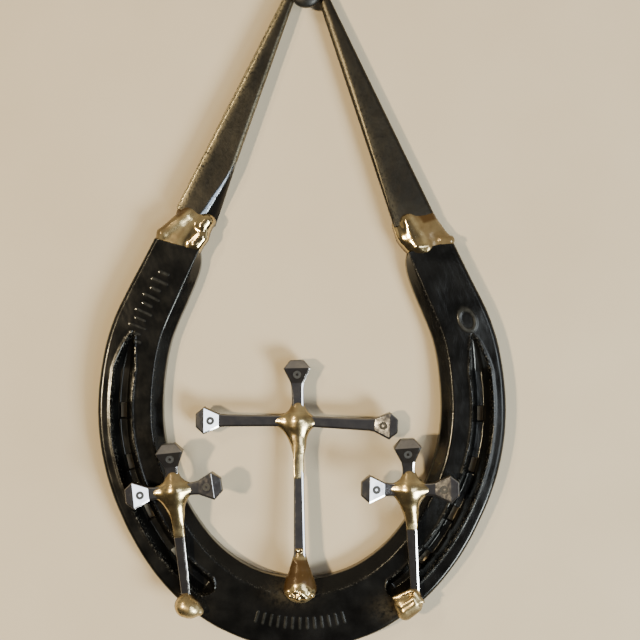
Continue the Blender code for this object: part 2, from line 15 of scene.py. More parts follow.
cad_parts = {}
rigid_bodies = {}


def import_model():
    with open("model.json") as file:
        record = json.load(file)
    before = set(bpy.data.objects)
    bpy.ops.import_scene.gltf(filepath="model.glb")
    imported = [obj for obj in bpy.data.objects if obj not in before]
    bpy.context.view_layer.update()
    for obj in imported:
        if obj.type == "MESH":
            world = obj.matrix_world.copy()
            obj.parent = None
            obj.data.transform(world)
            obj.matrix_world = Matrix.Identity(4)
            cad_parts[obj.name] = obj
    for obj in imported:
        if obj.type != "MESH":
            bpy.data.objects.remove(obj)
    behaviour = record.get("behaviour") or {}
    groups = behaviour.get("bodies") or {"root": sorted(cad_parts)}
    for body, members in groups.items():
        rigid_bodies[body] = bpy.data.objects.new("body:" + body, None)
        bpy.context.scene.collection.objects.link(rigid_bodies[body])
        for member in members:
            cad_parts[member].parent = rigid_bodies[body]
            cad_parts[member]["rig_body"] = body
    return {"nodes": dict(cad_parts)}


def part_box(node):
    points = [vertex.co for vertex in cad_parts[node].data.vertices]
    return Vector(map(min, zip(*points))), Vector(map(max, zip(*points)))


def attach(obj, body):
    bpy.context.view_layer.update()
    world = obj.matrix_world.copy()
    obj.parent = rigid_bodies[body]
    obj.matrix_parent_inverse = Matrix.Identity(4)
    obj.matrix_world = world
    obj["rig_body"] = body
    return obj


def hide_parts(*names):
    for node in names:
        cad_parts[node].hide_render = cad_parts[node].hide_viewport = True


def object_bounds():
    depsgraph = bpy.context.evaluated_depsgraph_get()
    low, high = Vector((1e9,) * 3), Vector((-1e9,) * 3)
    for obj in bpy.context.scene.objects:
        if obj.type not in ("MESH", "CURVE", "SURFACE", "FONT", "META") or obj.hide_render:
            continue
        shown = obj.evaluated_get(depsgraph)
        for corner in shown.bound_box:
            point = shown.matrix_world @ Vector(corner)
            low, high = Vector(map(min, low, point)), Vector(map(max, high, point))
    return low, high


MM = 0.001

# Camera, lights and wall
FRAME_WIDTH = 193.5
VIEW_OFFSET = (5.2, -7.1)  # the view's middle from the middle of the CAD box, as (x, z)
VIEW_PLANE_Y = -8.0  # close to the shoe's front face
VIEW_ROLL = math.radians(0.54)
CAMERA_DISTANCE = 400.0
SENSOR = 36.0
LAMP_COLOUR = (1.0, 0.8, 0.475)
WINDOW_COLOUR = (0.86, 0.95, 1.0)
FLOOR_COLOUR = (0.93, 1.0, 0.95)
FILL_COLOUR = (1.0, 0.98, 0.95)
LIGHTS = {  # (colour, power, size, degrees right of straight ahead, degrees above it, distance)
    "lamp": (LAMP_COLOUR, 14.5, (75.0, 75.0), -29.0, -2.0, 1300.0),
    "high_lamp": (LAMP_COLOUR, 3.0, (70.0, 260.0), -33.0, 20.0, 1300.0),
    "window": (WINDOW_COLOUR, 2.67, (400.0, 320.0), 25.5, -4.0, 1100.0),
    "bright_floor": (FLOOR_COLOUR, 14.5, (380.0, 320.0), 43.0, -28.0, 1100.0),
    "right_side": (FLOOR_COLOUR, 0.9, (700.0, 700.0), 80.0, 0.0, 1100.0),
    "left_side": (LAMP_COLOUR, 0.6, (700.0, 700.0), -80.0, 0.0, 1100.0),
    "rear_fill": (FILL_COLOUR, 25.0, (2000.0, 1400.0), 165.0, 5.0, 1300.0),
}
WALL_GAP = 0.25
WALL_SIZE = 2600.0

# Horseshoe: outer edge of one branch, heel to toe, as (out from the middle, up from the toe)
SHOE_OUTER_EDGE = (
    (45.3, 124.2),
    (51.5, 111.9),
    (57.3, 99.8),
    (61.0, 84.8),
    (61.9, 73.8),
    (60.5, 57.8),
    (54.3, 39.3),
    (43.2, 21.2),
    (24.8, 6.1),
    (0.0, 0.0),
)
STATION_SPACING = 0.9
CLOSE_STATION_SPACING = 0.25
SHOE_FACE_WIDTH = 16.5
HEEL_NARROWING = 2.3
HEEL_NARROWING_LENGTH = 30.0
HEEL_SKEW = math.radians(11.3)
HEEL_SKEW_LENGTH = 8.0
BEVEL_WIDTH = 3.1
BEVEL_START_LENGTH = 3.0
BEVEL_TOE_EXTRA = 1.3
BEVEL_TOE_LENGTH = 45.0
BEVEL_DROP = 3.4
BEVEL_CORNER = 0.25
OUTER_ROUNDING = 1.4
BACK_ROUNDING = 0.5
CREASE_START = 28.7
CREASE_END = 126.8
CREASE_HALF_WIDTH = 3.1
CREASE_LEAST_HALF_WIDTH = 0.4
CREASE_OFFSET = 7.1
CREASE_TOE_SHIFT = 1.7
CREASE_DEPTH = 4.2
CREASE_POINT_LENGTH = 13.0
CREASE_ROUND_LENGTH = 3.0
CREASE_WALLS = (1.33, 1.6)  # how steep its outer and its inner wall are
CREASE_BOTTOM_POWER = 0.85
LIP_HEIGHT = 0.16  # of the metal pushed up on both sides of the crease
LIP_PLACE = 1.08  # as a share of the crease's half-width
LIP_WIDTH = 0.5
HOLE_FIRST = 56.0
HOLE_SPACING = 17.7
HOLES_PER_BRANCH = 4
HOLE_LENGTH = 5.0
HOLE_WIDTH = 2.4
HOLE_TAPER = 0.15  # how much wider a hole is at the front, and narrower at the back
HOLE_OVERRUN = 1.0
FORGE_WAVES = ((0.035, 13.0, 1), (0.014, 4.5, 2), (0.005, 1.6, 3))  # (depth, length, seed)
FORGE_DEPTH = 0.07
FORGE_LEAST_DEPTH = 0.03
BROWN_PATCH_OFFSET = (-3.0, 2.5)  # from the middle of a foot's underside, as (x, z)
BROWN_PATCH_SIZE = (6.0, 3.5)

# Raised marks: rows of plain ticks on the left branch and round the toe, and a size oval on the right branch
MARK_HEIGHT = 0.13
TICK_SPACING = 2.6
TICK_RADIUS = 0.42
BRANCH_TICKS = 10
BRANCH_TICK_START = 8.6  # from the left heel
BRANCH_TICK_ACROSS = 7.7
BRANCH_TICK_HALF_LENGTHS = (1.3, 2.3)  # in turn
BRANCH_TICK_STRENGTH = 0.8
TOE_TICKS_PER_SIDE = 6
TOE_TICK_ACROSS = 8.0
TOE_TICK_HALF_LENGTH = 1.5
TOE_TICK_STRENGTH = 0.65
TOE_MARKS_REACH = 18.0
OVAL_PLACE = (23.9, 6.8)  # from the right heel, and from the outer edge
OVAL_RADII = (3.7, 2.3)
OVAL_LINE = 0.2  # half the width of its line, as a share of its radii

# Arms. A pair of values is for the inner and the outer edge
ARM_ROUNDING = 1.3
ARM_TIP_THICKNESS = 4.0
ARM_RINGS = 90
ARM_SINK = 0.02  # how far it goes on into its braze, as a share of its length
ARM_EDGE_WEAR = {"left": (0.45, 1.0), "right": (0.2, 0.03)}
ARM_EDGE_REACH = {"left": (0.8, 1.4), "right": (1.8, 0.8)}
ARM_EDGE_DEPTH = 0.8
ARM_BACK_WEAR = 0.1
ARM_FRONT_ROUNDING = {  # at the heel and at the tip
    "left": ((1.3, 1.3), (0.9, 2.3)),
    "right": ((0.35, 3.6), (1.3, 1.3)),
}
ARM_HEAT = {"left": (0.0, 0.9, 1.0), "right": (0.0, 0.15, 0.55)}  # at the heel, halfway and at the tip
ARM_SEEDS = {"left": (11, 15), "right": (12, 16)}
GRINDS = ((5.0, 0.235, 0.27), (3.6, 0.215, 0.92))  # how wide at the heel, how far up the arm, and how steep
# how far in from the right arm's inner edge its painted shade reaches
PAINTED_SHADE_REACH = 0.9

# Nails: (distance from the crown, width, thickness, corner radius)
NAIL_STAGES = (
    (0.0, 3.9, 2.0, 0.25),
    (0.25, 4.5, 2.45, 0.3),
    (2.42, 8.0, 4.7, 0.3),
    (2.5, 8.2, 4.76, 0.3),
    (2.58, 8.16, 4.73, 0.3),
    (7.0, 4.1, 2.58, 0.35),
    (8.6, 3.68, 2.46, 0.4),
    (11.0, 3.6, 2.44, 0.45),
)
NAIL_RIDGE = NAIL_STAGES[4]
NAIL_NECK = NAIL_STAGES[5]
NAIL_TIP = (2.6, 1.7, 0.4)
NAIL_TAPER_LENGTH = 41.0
NAIL_RING_SPACING = 1.5
NAIL_BEVEL = 0.62
NAIL_BEVEL_TURN = {"left": 17.0, "centre": 13.0, "right": 13.0}  # degrees, by cross
NAIL_HEAT_REACH = {"left": 30.0, "centre": 10.0, "right": 10.0}  # down each cross's shank
NAIL_HEAT_START = 5.0  # from the middle of the cross
SUNK_HEAD = 0.87  # the foot nail's head was dressed smaller before the brass went over it
CAD_NAIL_SIDES = 8  # corners of each ring of a CAD nail
STAMP_RADII = (0.4, 1.25)
STAMP_DEPTH = 0.12
STAMP_SHIFT = 0.3  # from the middle of the head's face towards the crown
STAMP_SIDES = 24

# Brass surfaces: how closely they are searched for, and how they are drawn onto the exact shape
SKIN_STEP = 0.3
LARGE_SKIN_STEP = 0.35
SKIN_PROBE = 0.02
SKIN_CORRECTIONS = 4
SKIN_LEAST_SLOPE = 0.05

# Heel brazes. A place on one is given as (share of the way from the arm to the shoe,
# share of the way from its inner to its outer side)
BRAZE_SIDES = {"left": (2.0, 0.2), "right": (0.5, -0.9)}  # how far the outer and the inner side are drawn in
BRAZE_RIDGE = {"left": 1.0, "right": 0.0}  # how satin the ridge along the outer side is
BRAZE_LUMPS = {  # on the front, as (from, to, radius, how proud)
    "left": (
        ((0.2, 0.66), (0.82, 0.9), 1.8, 0.5),
        ((0.1, 0.18), (0.3, 0.22), 2.0, 0.3),
        ((0.6, 0.1), (0.85, 0.15), 2.0, 0.35),
    ),
    "right": (
        ((0.15, 0.32), (0.85, 0.27), 2.3, 0.45),
        ((0.93, 0.25), (0.95, 0.45), 1.1, 0.3),
        ((0.9, 0.8), (0.97, 0.95), 1.1, 0.3),
    ),
}
BRAZE_SEEDS = {"left": 21, "right": 22}
BRAZE_SQUARENESS = 3.2
BRAZE_FRONT = 0.75  # how far its smooth front lies behind the CAD model's
SADDLE_RADIUS = 2.75  # of the apex braze, round the screw

# Hubs: brass in the middle of each cross, on its nails and in the corners under its arms
HUB_FLATNESS = 1.13
HUB_REACH = {"up": 4.4, "down": 8.6}
HUB_END_RADIUS = {"up": 2.0, "down": 1.7, "left": 1.35, "right": 1.35}
HUB_WEBS = (("left", 0.72, 7.2), ("right", 0.6, 5.0))  # side, share of the way out, and how far down
HUB_TAILS = {"centre": 17.5, "left": 14.0, "right": 12.0}  # how far the brass has run down each shank
HUB_TAIL_START = 5.0
HUB_TAIL_HALF_SIZE = (1.65, 1.45)
HUB_TAIL_TILT = math.radians(12.5)
HUB_SEEDS = {"centre": 41, "left": 42, "right": 43}

# The centre cross's foot: a cone of (height above its underside, radius), its skirt, the lumps round its base
# and the drops at its neck
CONE_STAGES = ((4.2, 4.6), (5.6, 4.3), (9.4, 2.9))
CONE_NECK = (1.2, 1.75)  # below its top, and radius
CONE_SKIRT = ((-1.7, 0.5, -0.9), (1.7, 0.5, -0.9), 3.0, 3.0, 0.75)
CONE_LUMPS = (
    ((-3.5, -1.6, -0.7), 1.1),
    ((-2.6, -2.4, -2.0), 1.2),
    ((-1.3, -3.1, -0.6), 0.9),
    ((-0.6, -2.9, -2.5), 1.2),
    ((0.5, -3.2, -1.2), 1.0),
    ((1.6, -2.7, -2.3), 1.1),
    ((2.5, -2.3, -0.9), 1.1),
    ((3.4, -1.5, -1.9), 1.1),
)
CONE_DROPS = (((-0.9, -1.3, 0.7), 0.55), ((0.7, -1.35, 0.8), 0.5), ((-1.3, -1.4, -2.4), 0.55))

# The small crosses' feet, from their middles: limbs as (from, to, radius from, radius to, flatness)
EGG_FOOT = (
    ((-1.0, 0.2, 0.0), (0.4, 0.0, -0.5), 3.2, 3.0, 0.85),
    ((0.4, 0.0, -0.5), (3.4, 0.2, -1.5), 2.7, 1.2, 0.85),
)
RIBBED_FOOT = (
    ((-1.8, 0.4, 0.4), (1.6, 0.2, 1.2), 2.4, 2.4, 0.8),
    ((-0.8, 0.4, -1.9), (1.8, 0.2, 0.2), 2.5, 2.5, 0.8),
    ((-4.3, 0.6, 2.2), (0.7, -0.5, 4.6), 0.5, 0.65, 1.0),
    ((-2.1, -1.2, 0.0), (1.3, -1.6, 2.5), 0.45, 0.55, 1.0),
    ((-1.1, -0.6, -1.4), (2.0, -0.8, 1.0), 1.3, 1.3, 1.0),
)
FOOT_CAP = (  # sides of the flat-sided lump on the right foot, as (a point, the outward direction)
    ((2.6, -1.7, 3.0), (0.225, -0.972, 0.07)),
    ((3.5, 0.0, 3.1), (0.753, 0.0, 0.659)),
    ((0.0, 0.0, 4.9), (0.0, 0.0, 1.0)),
    ((0.0, 0.0, 1.2), (0.0, 0.0, -1.0)),
    ((1.5, 0.0, 0.0), (-1.0, 0.0, 0.0)),
    ((0.0, 1.5, 0.0), (0.0, 1.0, 0.0)),
)
SMALL_FEET = {  # limbs, (rise, radius) of the lump round the nail's tip, fillet, waves, and how browned
    "left": (EGG_FOOT, (0.4, 1.8), 0.6, (0.05, 4.0, 61), 0.2),
    "right": (RIBBED_FOOT, (1.4, 1.9), 0.25, (0.02, 3.5, 62), 0.75),
}

# Hanging screw
SCREW_SIDES = 48
SCREW_HEAD_HEIGHT = 3.1
SCREW_DOME_HEIGHT = 1.75
SCREW_SHANK_RADIUS = 2.4
SCREW_SHARP_ANGLE = 42
THREAD_START_Y = 0.2
THREAD_CORE_RADIUS = 1.7
THREAD_HEIGHT = 0.7
THREAD_PITCH = 1.8
THREAD_TURNS = 14
THREAD_POINT_TURNS = 3
THREAD_STEPS = 12  # in each turn
RECESS_HALF_WIDTH = 0.55
RECESS_REACH = 2.6
RECESS_ENDS = ((-1.0, 1.25), (2.1, 0.5))  # (depth behind the head's front, size)

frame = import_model()
cad_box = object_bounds()


# --- places from the CAD model


def box_mm(node):
    low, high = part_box(node)
    return np.array(low) / MM, np.array(high) / MM


def corners(node):
    """The node's distinct vertices in millimetres."""
    points = np.array([v.co for v in frame["nodes"][node].data.vertices], float) / MM
    return np.unique(points.round(3), axis=0)


def farthest(node, x, z):
    """The node's vertex that lies farthest in a direction of the wall's plane, as (x, z)."""
    points = corners(node)
    best = points[np.argmax(points[:, 0] * x + points[:, 2] * z)]
    return best[[0, 2]]


def nail_axis(node):
    """The middles of a nail's two ends, the crown's first."""
    points = corners(node)
    middle = points.mean(axis=0)
    axis = np.linalg.svd(points - middle)[2][0]
    order = np.argsort((points - middle) @ axis)
    first, last = order[:CAD_NAIL_SIDES], order[-CAD_NAIL_SIDES:]
    ends = [points[first].mean(axis=0), points[last].mean(axis=0)]
    next_rings = order[CAD_NAIL_SIDES : 2 * CAD_NAIL_SIDES], order[-2 * CAD_NAIL_SIDES : -CAD_NAIL_SIDES]
    spread = [np.ptp(points[ring], axis=0).max() for ring in next_rings]
    return ends if spread[0] > spread[1] else ends[::-1]


# --- meshes


def loft(rings):
    """Points and faces of a closed skin through rings of equally many points."""
    sides = len(rings[0])
    points = np.concatenate([np.array(ring, float) for ring in rings])
    faces = []
    for i in range(len(rings) - 1):
        for j in range(sides):
            k = (j + 1) % sides
            faces.append((i * sides + j, i * sides + k, (i + 1) * sides + k, (i + 1) * sides + j))
    last = (len(rings) - 1) * sides
    faces.append(tuple(range(sides)))
    faces.append(tuple(range(last + sides - 1, last - 1, -1)))
    return points, faces


def make_piece(name, points, faces, material, sharp=None):
    """A mesh object from points in millimetres. Edges bent by more than sharp degrees stay sharp."""
    mesh = bpy.data.meshes.new(name)
    mesh.from_pydata([tuple(p) for p in np.asarray(points, float) * MM], [], faces)
    work = bmesh.new()
    work.from_mesh(mesh)
    bmesh.ops.recalc_face_normals(work, faces=work.faces)
    work.to_mesh(mesh)
    work.free()
    mesh.shade_smooth()
    if sharp is not None:
        mesh.set_sharp_from_angle(angle=math.radians(sharp))
    mesh.materials.append(material)
    piece = bpy.data.objects.new(name, mesh)
    bpy.context.collection.objects.link(piece)
    return piece


def settle(piece, node):
    """The piece stands for a CAD node, and moves with that node's body."""
    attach(piece, frame["nodes"][node]["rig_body"])
    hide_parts(node)


def cut(piece, cutter):
    """Cuts one mesh out of another for good, and removes the cutter."""
    modifier = piece.modifiers.new("Cut", "BOOLEAN")
    modifier.operation = "DIFFERENCE"
    modifier.solver = "EXACT"
    modifier.object = cutter
    modifier.material_mode = "TRANSFER"
    evaluated = piece.evaluated_get(bpy.context.evaluated_depsgraph_get())
    piece.data = bpy.data.meshes.new_from_object(evaluated)
    piece.modifiers.clear()
    bpy.data.objects.remove(cutter)


def unit(vector):
    return vector / np.linalg.norm(vector)


def bell(value, width, power=2):
    """1 at zero, falling smoothly to nothing on both sides over about this width."""
    return np.exp(-((value / width) ** power))


def shank_axes(start, end):
    """A straight shank's length, and the directions along it, to its back and across it."""
    length = np.linalg.norm(end - start)
    along = (end - start) / length
    deep = unit(np.array([0.0, 1.0, 0.0]) - along * along[1])
    return length, along, deep, np.cross(along, deep)


def waves(points, length, seed, count=7):
    """Smooth irregularity between about -1 and 1, with waves of roughly this length."""
    draw = np.random.default_rng(seed)
    way = draw.normal(size=(count, 3))
    way /= np.linalg.norm(way, axis=1)[:, None]
    way *= 2.0 * math.pi / (length * draw.uniform(0.7, 1.5, count)[:, None])
    phase = draw.uniform(0.0, 2.0 * math.pi, count)
    return np.sin(np.asarray(points) @ way.T + phase).sum(axis=-1) / math.sqrt(count)


# --- smooth brass


def limb(points, start, end, start_radius, end_radius, flat=1.0):
    """Distance to a tapered rod with round ends. A flat value under 1 thins it in y."""
    start = np.array(start, float)
    axis = np.array(end, float) - start
    share = np.clip((points - start) @ axis / (axis @ axis), 0.0, 1.0)
    away = (points - start - share[..., None] * axis) / (1.0, flat, 1.0)
    return np.linalg.norm(away, axis=-1) - (start_radius + share * (end_radius - start_radius))


def ball(points, centre, radius):
    """Distance to a ball."""
    return np.linalg.norm(points - centre, axis=-1) - radius


def melt(distances, radius):
    """One distance from several, with fillets of about this radius where they meet."""
    return -radius * np.log(sum(np.exp(-d / radius) for d in distances))


def block(points, planes, radius):
    """Distance to a solid behind planes, each given by a point on it and its outward direction."""
    return -melt([(np.array(place) - points) @ unit(np.array(way)) for place, way in planes], radius)


def skin(field, low, high, step):
    """Points and faces of the closed surface where field(points) is zero, inside a box."""
    axes = [np.arange(a, b + step, step) for a, b in zip(low, high)]
    grid = np.stack(np.meshgrid(*axes, indexing="ij"), axis=-1)
    value = field(grid)
    inside = value < 0.0
    sums = np.zeros(grid.shape)
    counts = np.zeros(value.shape)
    squares = []
    for axis in range(3):
        near = tuple(slice(0, -1) if i == axis else slice(None) for i in range(3))
        far = tuple(slice(1, None) if i == axis else slice(None) for i in range(3))
        crossed = np.argwhere(inside[near] != inside[far])
        before = value[near][tuple(crossed.T)]
        after = value[far][tuple(crossed.T)]
        place = grid[tuple(crossed.T)].copy()
        place[:, axis] += step * before / (before - after)
        others = [i for i in range(3) if i != axis]
        around = []
        for a, b in ((0, 0), (1, 0), (1, 1), (0, 1)):
            cell = crossed.copy()
            cell[:, others[0]] -= a
            cell[:, others[1]] -= b
            np.add.at(sums, tuple(cell.T), place)
            np.add.at(counts, tuple(cell.T), 1)
            around.append(np.ravel_multi_index(cell.T, value.shape))
        squares.append(np.stack(around, axis=1))
    used = np.argwhere(counts > 0)
    number = np.full(value.size, -1)
    number[np.ravel_multi_index(used.T, value.shape)] = np.arange(len(used))
    points = sums[tuple(used.T)] / counts[tuple(used.T)][:, None]
    probes = SKIN_PROBE * np.eye(3)
    for _ in range(SKIN_CORRECTIONS):
        rise = [field(points + probe) - field(points - probe) for probe in probes]
        slope = np.stack(rise, axis=-1) / (2.0 * SKIN_PROBE)
        points -= (field(points) / np.maximum((slope**2).sum(axis=-1), SKIN_LEAST_SLOPE))[:, None] * slope
    return points, number[np.concatenate(squares)].tolist()


def brass_piece(name, node, field, reach, step=SKIN_STEP, satin=0.0, browned=None):
    """A lump of brass for a CAD node: where the field is zero, searched for this far round the node.

    It is browned on its sides and back, as painted shade and partly as oxide, and where browned(points) says
    so.
    """
    low, high = box_mm(node)
    points, faces = skin(field, low - reach, high + reach, step)
    piece = make_piece(name, points, faces, MATERIALS["brass"])
    facing = np.array([v.normal.y for v in piece.data.vertices])
    # painted shade: faces turned away from the front are browned, partly also as oxide
    browning_and_shade = np.interp(facing, (-0.6, -0.25), (0.0, 1.0))
    if browned:
        browning_and_shade = np.maximum(browning_and_shade, browned(points))
    carry(piece, "browning_and_shade", browning_and_shade)
    carry(piece, "satin", satin(points) if callable(satin) else np.full(len(facing), satin))
    settle(piece, node)
    return piece


# --- materials


class Tree:
    """Shader nodes under construction, for a material or for the world."""

    def __init__(self, owner):
        owner.use_nodes = True
        self.tree = owner.node_tree

    def node(self, kind, inputs, **settings):
        made = self.tree.nodes.new("ShaderNode" + kind)
        for key, value in settings.items():
            setattr(made, key, value)
        for key, value in inputs.items():
            if isinstance(value, bpy.types.NodeSocket):
                self.tree.links.new(value, made.inputs[key])
            else:
                made.inputs[key].default_value = value
        return made


class Surface(Tree):
    """A node material under construction."""

    def __init__(self, name):
        self.material = bpy.data.materials.new(name)
        super().__init__(self.material)
        self.shader = self.tree.nodes["Principled BSDF"]
        self.place = self.node("TexCoord", {}).outputs["Object"]

    def noise(self, size, detail=4.0, roughness=0.55, stretch=None):
        """Noise with features of about this size in millimetres."""
        place = self.place
        if stretch:
            place = self.node("Mapping", {"Vector": place, "Scale": stretch}).outputs[0]
        inputs = {"Vector": place, "Scale": 1.0 / (size * MM), "Detail": detail, "Roughness": roughness}
        return self.node("TexNoise", inputs).outputs["Fac"]

    def span(self, value, low, high, to_low=0.0, to_high=1.0):
        inputs = {"Value": value, "From Min": low, "From Max": high, "To Min": to_low, "To Max": to_high}
        return self.node("MapRange", inputs).outputs[0]

    def blend(self, share, first, second, mode="MIX"):
        made = self.node("Mix", {}, data_type="RGBA", blend_type=mode)
        for key, value in ((0, share), (6, first), (7, second)):
            if isinstance(value, bpy.types.NodeSocket):
                self.tree.links.new(value, made.inputs[key])
            else:
                made.inputs[key].default_value = value if key == 0 else (*value, 1.0)
        return made.outputs[2]

    def shade(self, value, low, high, first, second):
        """One colour where a value is low, turning to another where it is high."""
        return self.blend(self.span(value, low, high), first, second)

    def bump(self, height, depth, under=None):
        """A bump of this depth in millimetres, on top of another."""
        inputs = {"Height": height, "Strength": 1.0, "Distance": depth * MM}
        if under:
            inputs["Normal"] = under
        return self.node("Bump", inputs).outputs[0]

    def times(self, first, second):
        return self.node("Math", {0: first, 1: second}, operation="MULTIPLY").outputs[0]

    def mixed(self, share, first, second):
        return self.node("Mix", {0: share, 2: first, 3: second}).outputs[0]

    def back(self):
        """1 on faces turned to the wall."""
        way = self.node("TexCoord", {}).outputs["Normal"]
        return self.span(self.node("SeparateXYZ", {0: way}).outputs["Y"], 0.5, 0.9)

    def mark(self, name):
        """A value from 0 to 1 that the mesh carries."""
        return self.node("Attribute", {}, attribute_name=name).outputs["Fac"]

    def finish(self, **inputs):
        for key, value in inputs.items():
            socket = self.shader.inputs[key.replace("_", " ")]
            if isinstance(value, bpy.types.NodeSocket):
                self.tree.links.new(value, socket)
            else:
                socket.default_value = value
        return self.material


def paint_material():
    """Black semi-gloss paint over forged steel, worn to grey where an edge rubs."""
    s = Surface("black_paint")
    mottle = s.noise(7.0, 6.0)
    grain = s.noise(1.2, 5.0, 0.6)
    fleck = s.span(s.noise(0.55, 3.0, 0.7), 0.55, 0.7)
    black = s.shade(mottle, 0.35, 0.7, (0.002, 0.002, 0.0021), (0.0055, 0.0055, 0.0057))
    # brownish patches beside the feet of the crosses
    brown_patch = s.times(s.mark("brown_patch"), s.span(grain, 0.3, 0.6))
    black = s.blend(brown_patch, black, (0.05, 0.04, 0.026))
    colour = s.blend(s.times(s.mark("wear"), fleck), black, (0.3, 0.285, 0.25))
    rubbed_marks = s.times(s.mark("raised"), s.span(grain, 0.35, 0.6, 0.35, 1.0))
    colour = s.blend(rubbed_marks, colour, (0.036, 0.036, 0.034))
    back = s.back()
    dust = s.shade(mottle, 0.35, 0.65, (0.016, 0.016, 0.0165), (0.04, 0.038, 0.035))
    colour = s.blend(back, colour, s.shade(grain, 0.52, 0.7, dust, (0.07, 0.062, 0.052)))
    rough = s.mixed(back, s.span(mottle, 0.3, 0.72, 0.13, 0.25), 0.45)
    relief = s.bump(mottle, 0.045, s.bump(grain, 0.014))
    return s.finish(Base_Color=colour, Roughness=rough, Normal=relief, IOR=1.41)


def arm_material():
    """Dark forge scale on steel, bronze-brown where it has been heated, ground bright in one facet; a steeper
    ground facet and the right arm's inner edge near its heel are painted near black as shade.
    """
    s = Surface("arm_steel")
    cloud = s.noise(11.0, 5.0)
    grain = s.noise(0.7, 4.0, 0.7)
    streak = s.noise(2.2, 5.0, 0.6, stretch=(1.0, 1.0, 0.3))
    dark = s.shade(cloud, 0.36, 0.66, (0.033, 0.031, 0.028), (0.05, 0.046, 0.039))
    bronze = s.shade(cloud, 0.36, 0.66, (0.085, 0.072, 0.052), (0.2, 0.16, 0.1))
    colour = s.blend(s.mark("heat"), dark, bronze)
    colour = s.blend(s.span(streak, 0.5, 0.75, 0.0, 0.6), colour, (0.04, 0.037, 0.034))
    rubbed = s.times(s.mark("edge"), s.span(grain, 0.36, 0.52))
    colour = s.blend(rubbed, colour, (0.75, 0.64, 0.42))
    # painted shade: near black on the left arm's steeper ground facet and along the right arm's inner edge
    # near its heel
    colour = s.blend(s.mark("soot_and_shade"), colour, (0.008, 0.008, 0.009))
    ground = s.mark("ground")
    colour = s.blend(ground, colour, (0.18, 0.2, 0.235))
    rough = s.mixed(rubbed, s.span(grain, 0.3, 0.7, 0.32, 0.46), 0.22)
    rough = s.mixed(ground, rough, 0.16)
    relief = s.bump(streak, 0.02, s.bump(grain, 0.028))
    back = s.back()
    dust = s.shade(cloud, 0.35, 0.65, (0.04, 0.037, 0.033), (0.09, 0.08, 0.065))
    colour = s.blend(s.times(back, 0.8), colour, dust)
    metal = s.mixed(back, 0.95, 0.3)
    return s.finish(Base_Color=colour, Metallic=metal, Roughness=rough, Normal=relief)


def nail_material():
    """Bright drawn steel, a little blued, with fine handling marks; its sides and back are painted dark as
    shade.
    """
    s = Surface("nail_steel")
    cloud = s.noise(5.0, 4.0)
    scratch = s.noise(0.6, 3.0, 0.6, stretch=(1.0, 1.0, 0.2))
    smear = s.noise(1.6, 4.0, 0.6)
    colour = s.shade(cloud, 0.35, 0.7, (0.44, 0.43, 0.46), (0.6, 0.58, 0.57))
    colour = s.blend(s.span(smear, 0.6, 0.75, 0.0, 0.45), colour, (0.34, 0.3, 0.26))
    heat = s.times(s.mark("heat"), s.span(cloud, 0.2, 0.6, 0.75, 1.0))
    colour = s.blend(heat, colour, (0.32, 0.265, 0.13))
    # painted shade: the sides and back, turned away from the front, are dark
    side = s.mark("side")
    colour = s.blend(side, colour, (0.1, 0.092, 0.082))
    rough = s.mixed(side, s.span(smear, 0.4, 0.75, 0.07, 0.16), 0.35)
    relief = s.bump(cloud, 0.02, s.bump(scratch, 0.002))
    return s.finish(Base_Color=colour, Metallic=1.0, Roughness=rough, Normal=relief)


def stamp_material():
    """Scale left in the bottom of a stamped mark."""
    s = Surface("nail_stamp")
    grain = s.noise(0.3, 3.0, 0.6)
    colour = s.shade(grain, 0.35, 0.65, (0.025, 0.026, 0.028), (0.06, 0.06, 0.062))
    return s.finish(Base_Color=colour, Roughness=s.span(grain, 0.3, 0.7, 0.45, 0.6), IOR=1.35)


def soot_material():
    """Black scale inside punched holes."""
    s = Surface("hole_scale")
    grain = s.noise(0.5, 3.0, 0.6)
    colour = s.shade(grain, 0.35, 0.65, (0.003, 0.003, 0.003), (0.008, 0.007, 0.006))
    return s.finish(Base_Color=colour, Roughness=s.span(grain, 0.3, 0.7, 0.6, 0.8), IOR=1.3)


def brass_material():
    """Brazing brass, bright where it is thick and browned in places: by the flame on the centre foot's cone,
    and as painted shade on the sides and backs of the lumps and on the heel brazes.
    """
    s = Surface("braze_brass")
    cloud = s.noise(4.0, 5.0)
    swell = s.noise(3.0, 1.0)
    grain = s.noise(0.7, 4.0, 0.65)
    colour = s.shade(cloud, 0.36, 0.62, (0.42, 0.32, 0.17), (0.7, 0.56, 0.31))
    # brown carried by the mesh; on sides, backs and the heel brazes it is painted shade
    browning_and_shade = s.times(s.mark("browning_and_shade"), s.span(grain, 0.1, 0.35))
    colour = s.blend(browning_and_shade, colour, (0.07, 0.038, 0.013))
    glossy = s.span(grain, 0.3, 0.7, 0.09, 0.15)
    satin = s.span(grain, 0.3, 0.7, 0.28, 0.38)
    rough = s.mixed(browning_and_shade, s.mixed(s.mark("satin"), glossy, satin), 0.27)
    metal = s.mixed(browning_and_shade, 1.0, 0.1)
    relief = s.bump(swell, 0.035, s.bump(grain, 0.006))
    return s.finish(Base_Color=colour, Metallic=metal, Roughness=rough, IOR=1.4, Normal=relief)


def screw_material():
    """Black phosphate on steel, rubbed on its edges."""
    s = Surface("screw_black")
    grain = s.noise(0.5, 4.0, 0.65)
    cloud = s.noise(3.0, 3.0)
    colour = s.shade(cloud, 0.4, 0.7, (0.008, 0.008, 0.008), (0.02, 0.019, 0.017))
    return s.finish(
        Base_Color=colour,
        Metallic=0.3,
        Roughness=s.span(grain, 0.3, 0.7, 0.34, 0.5),
        Normal=s.bump(grain, 0.03),
    )


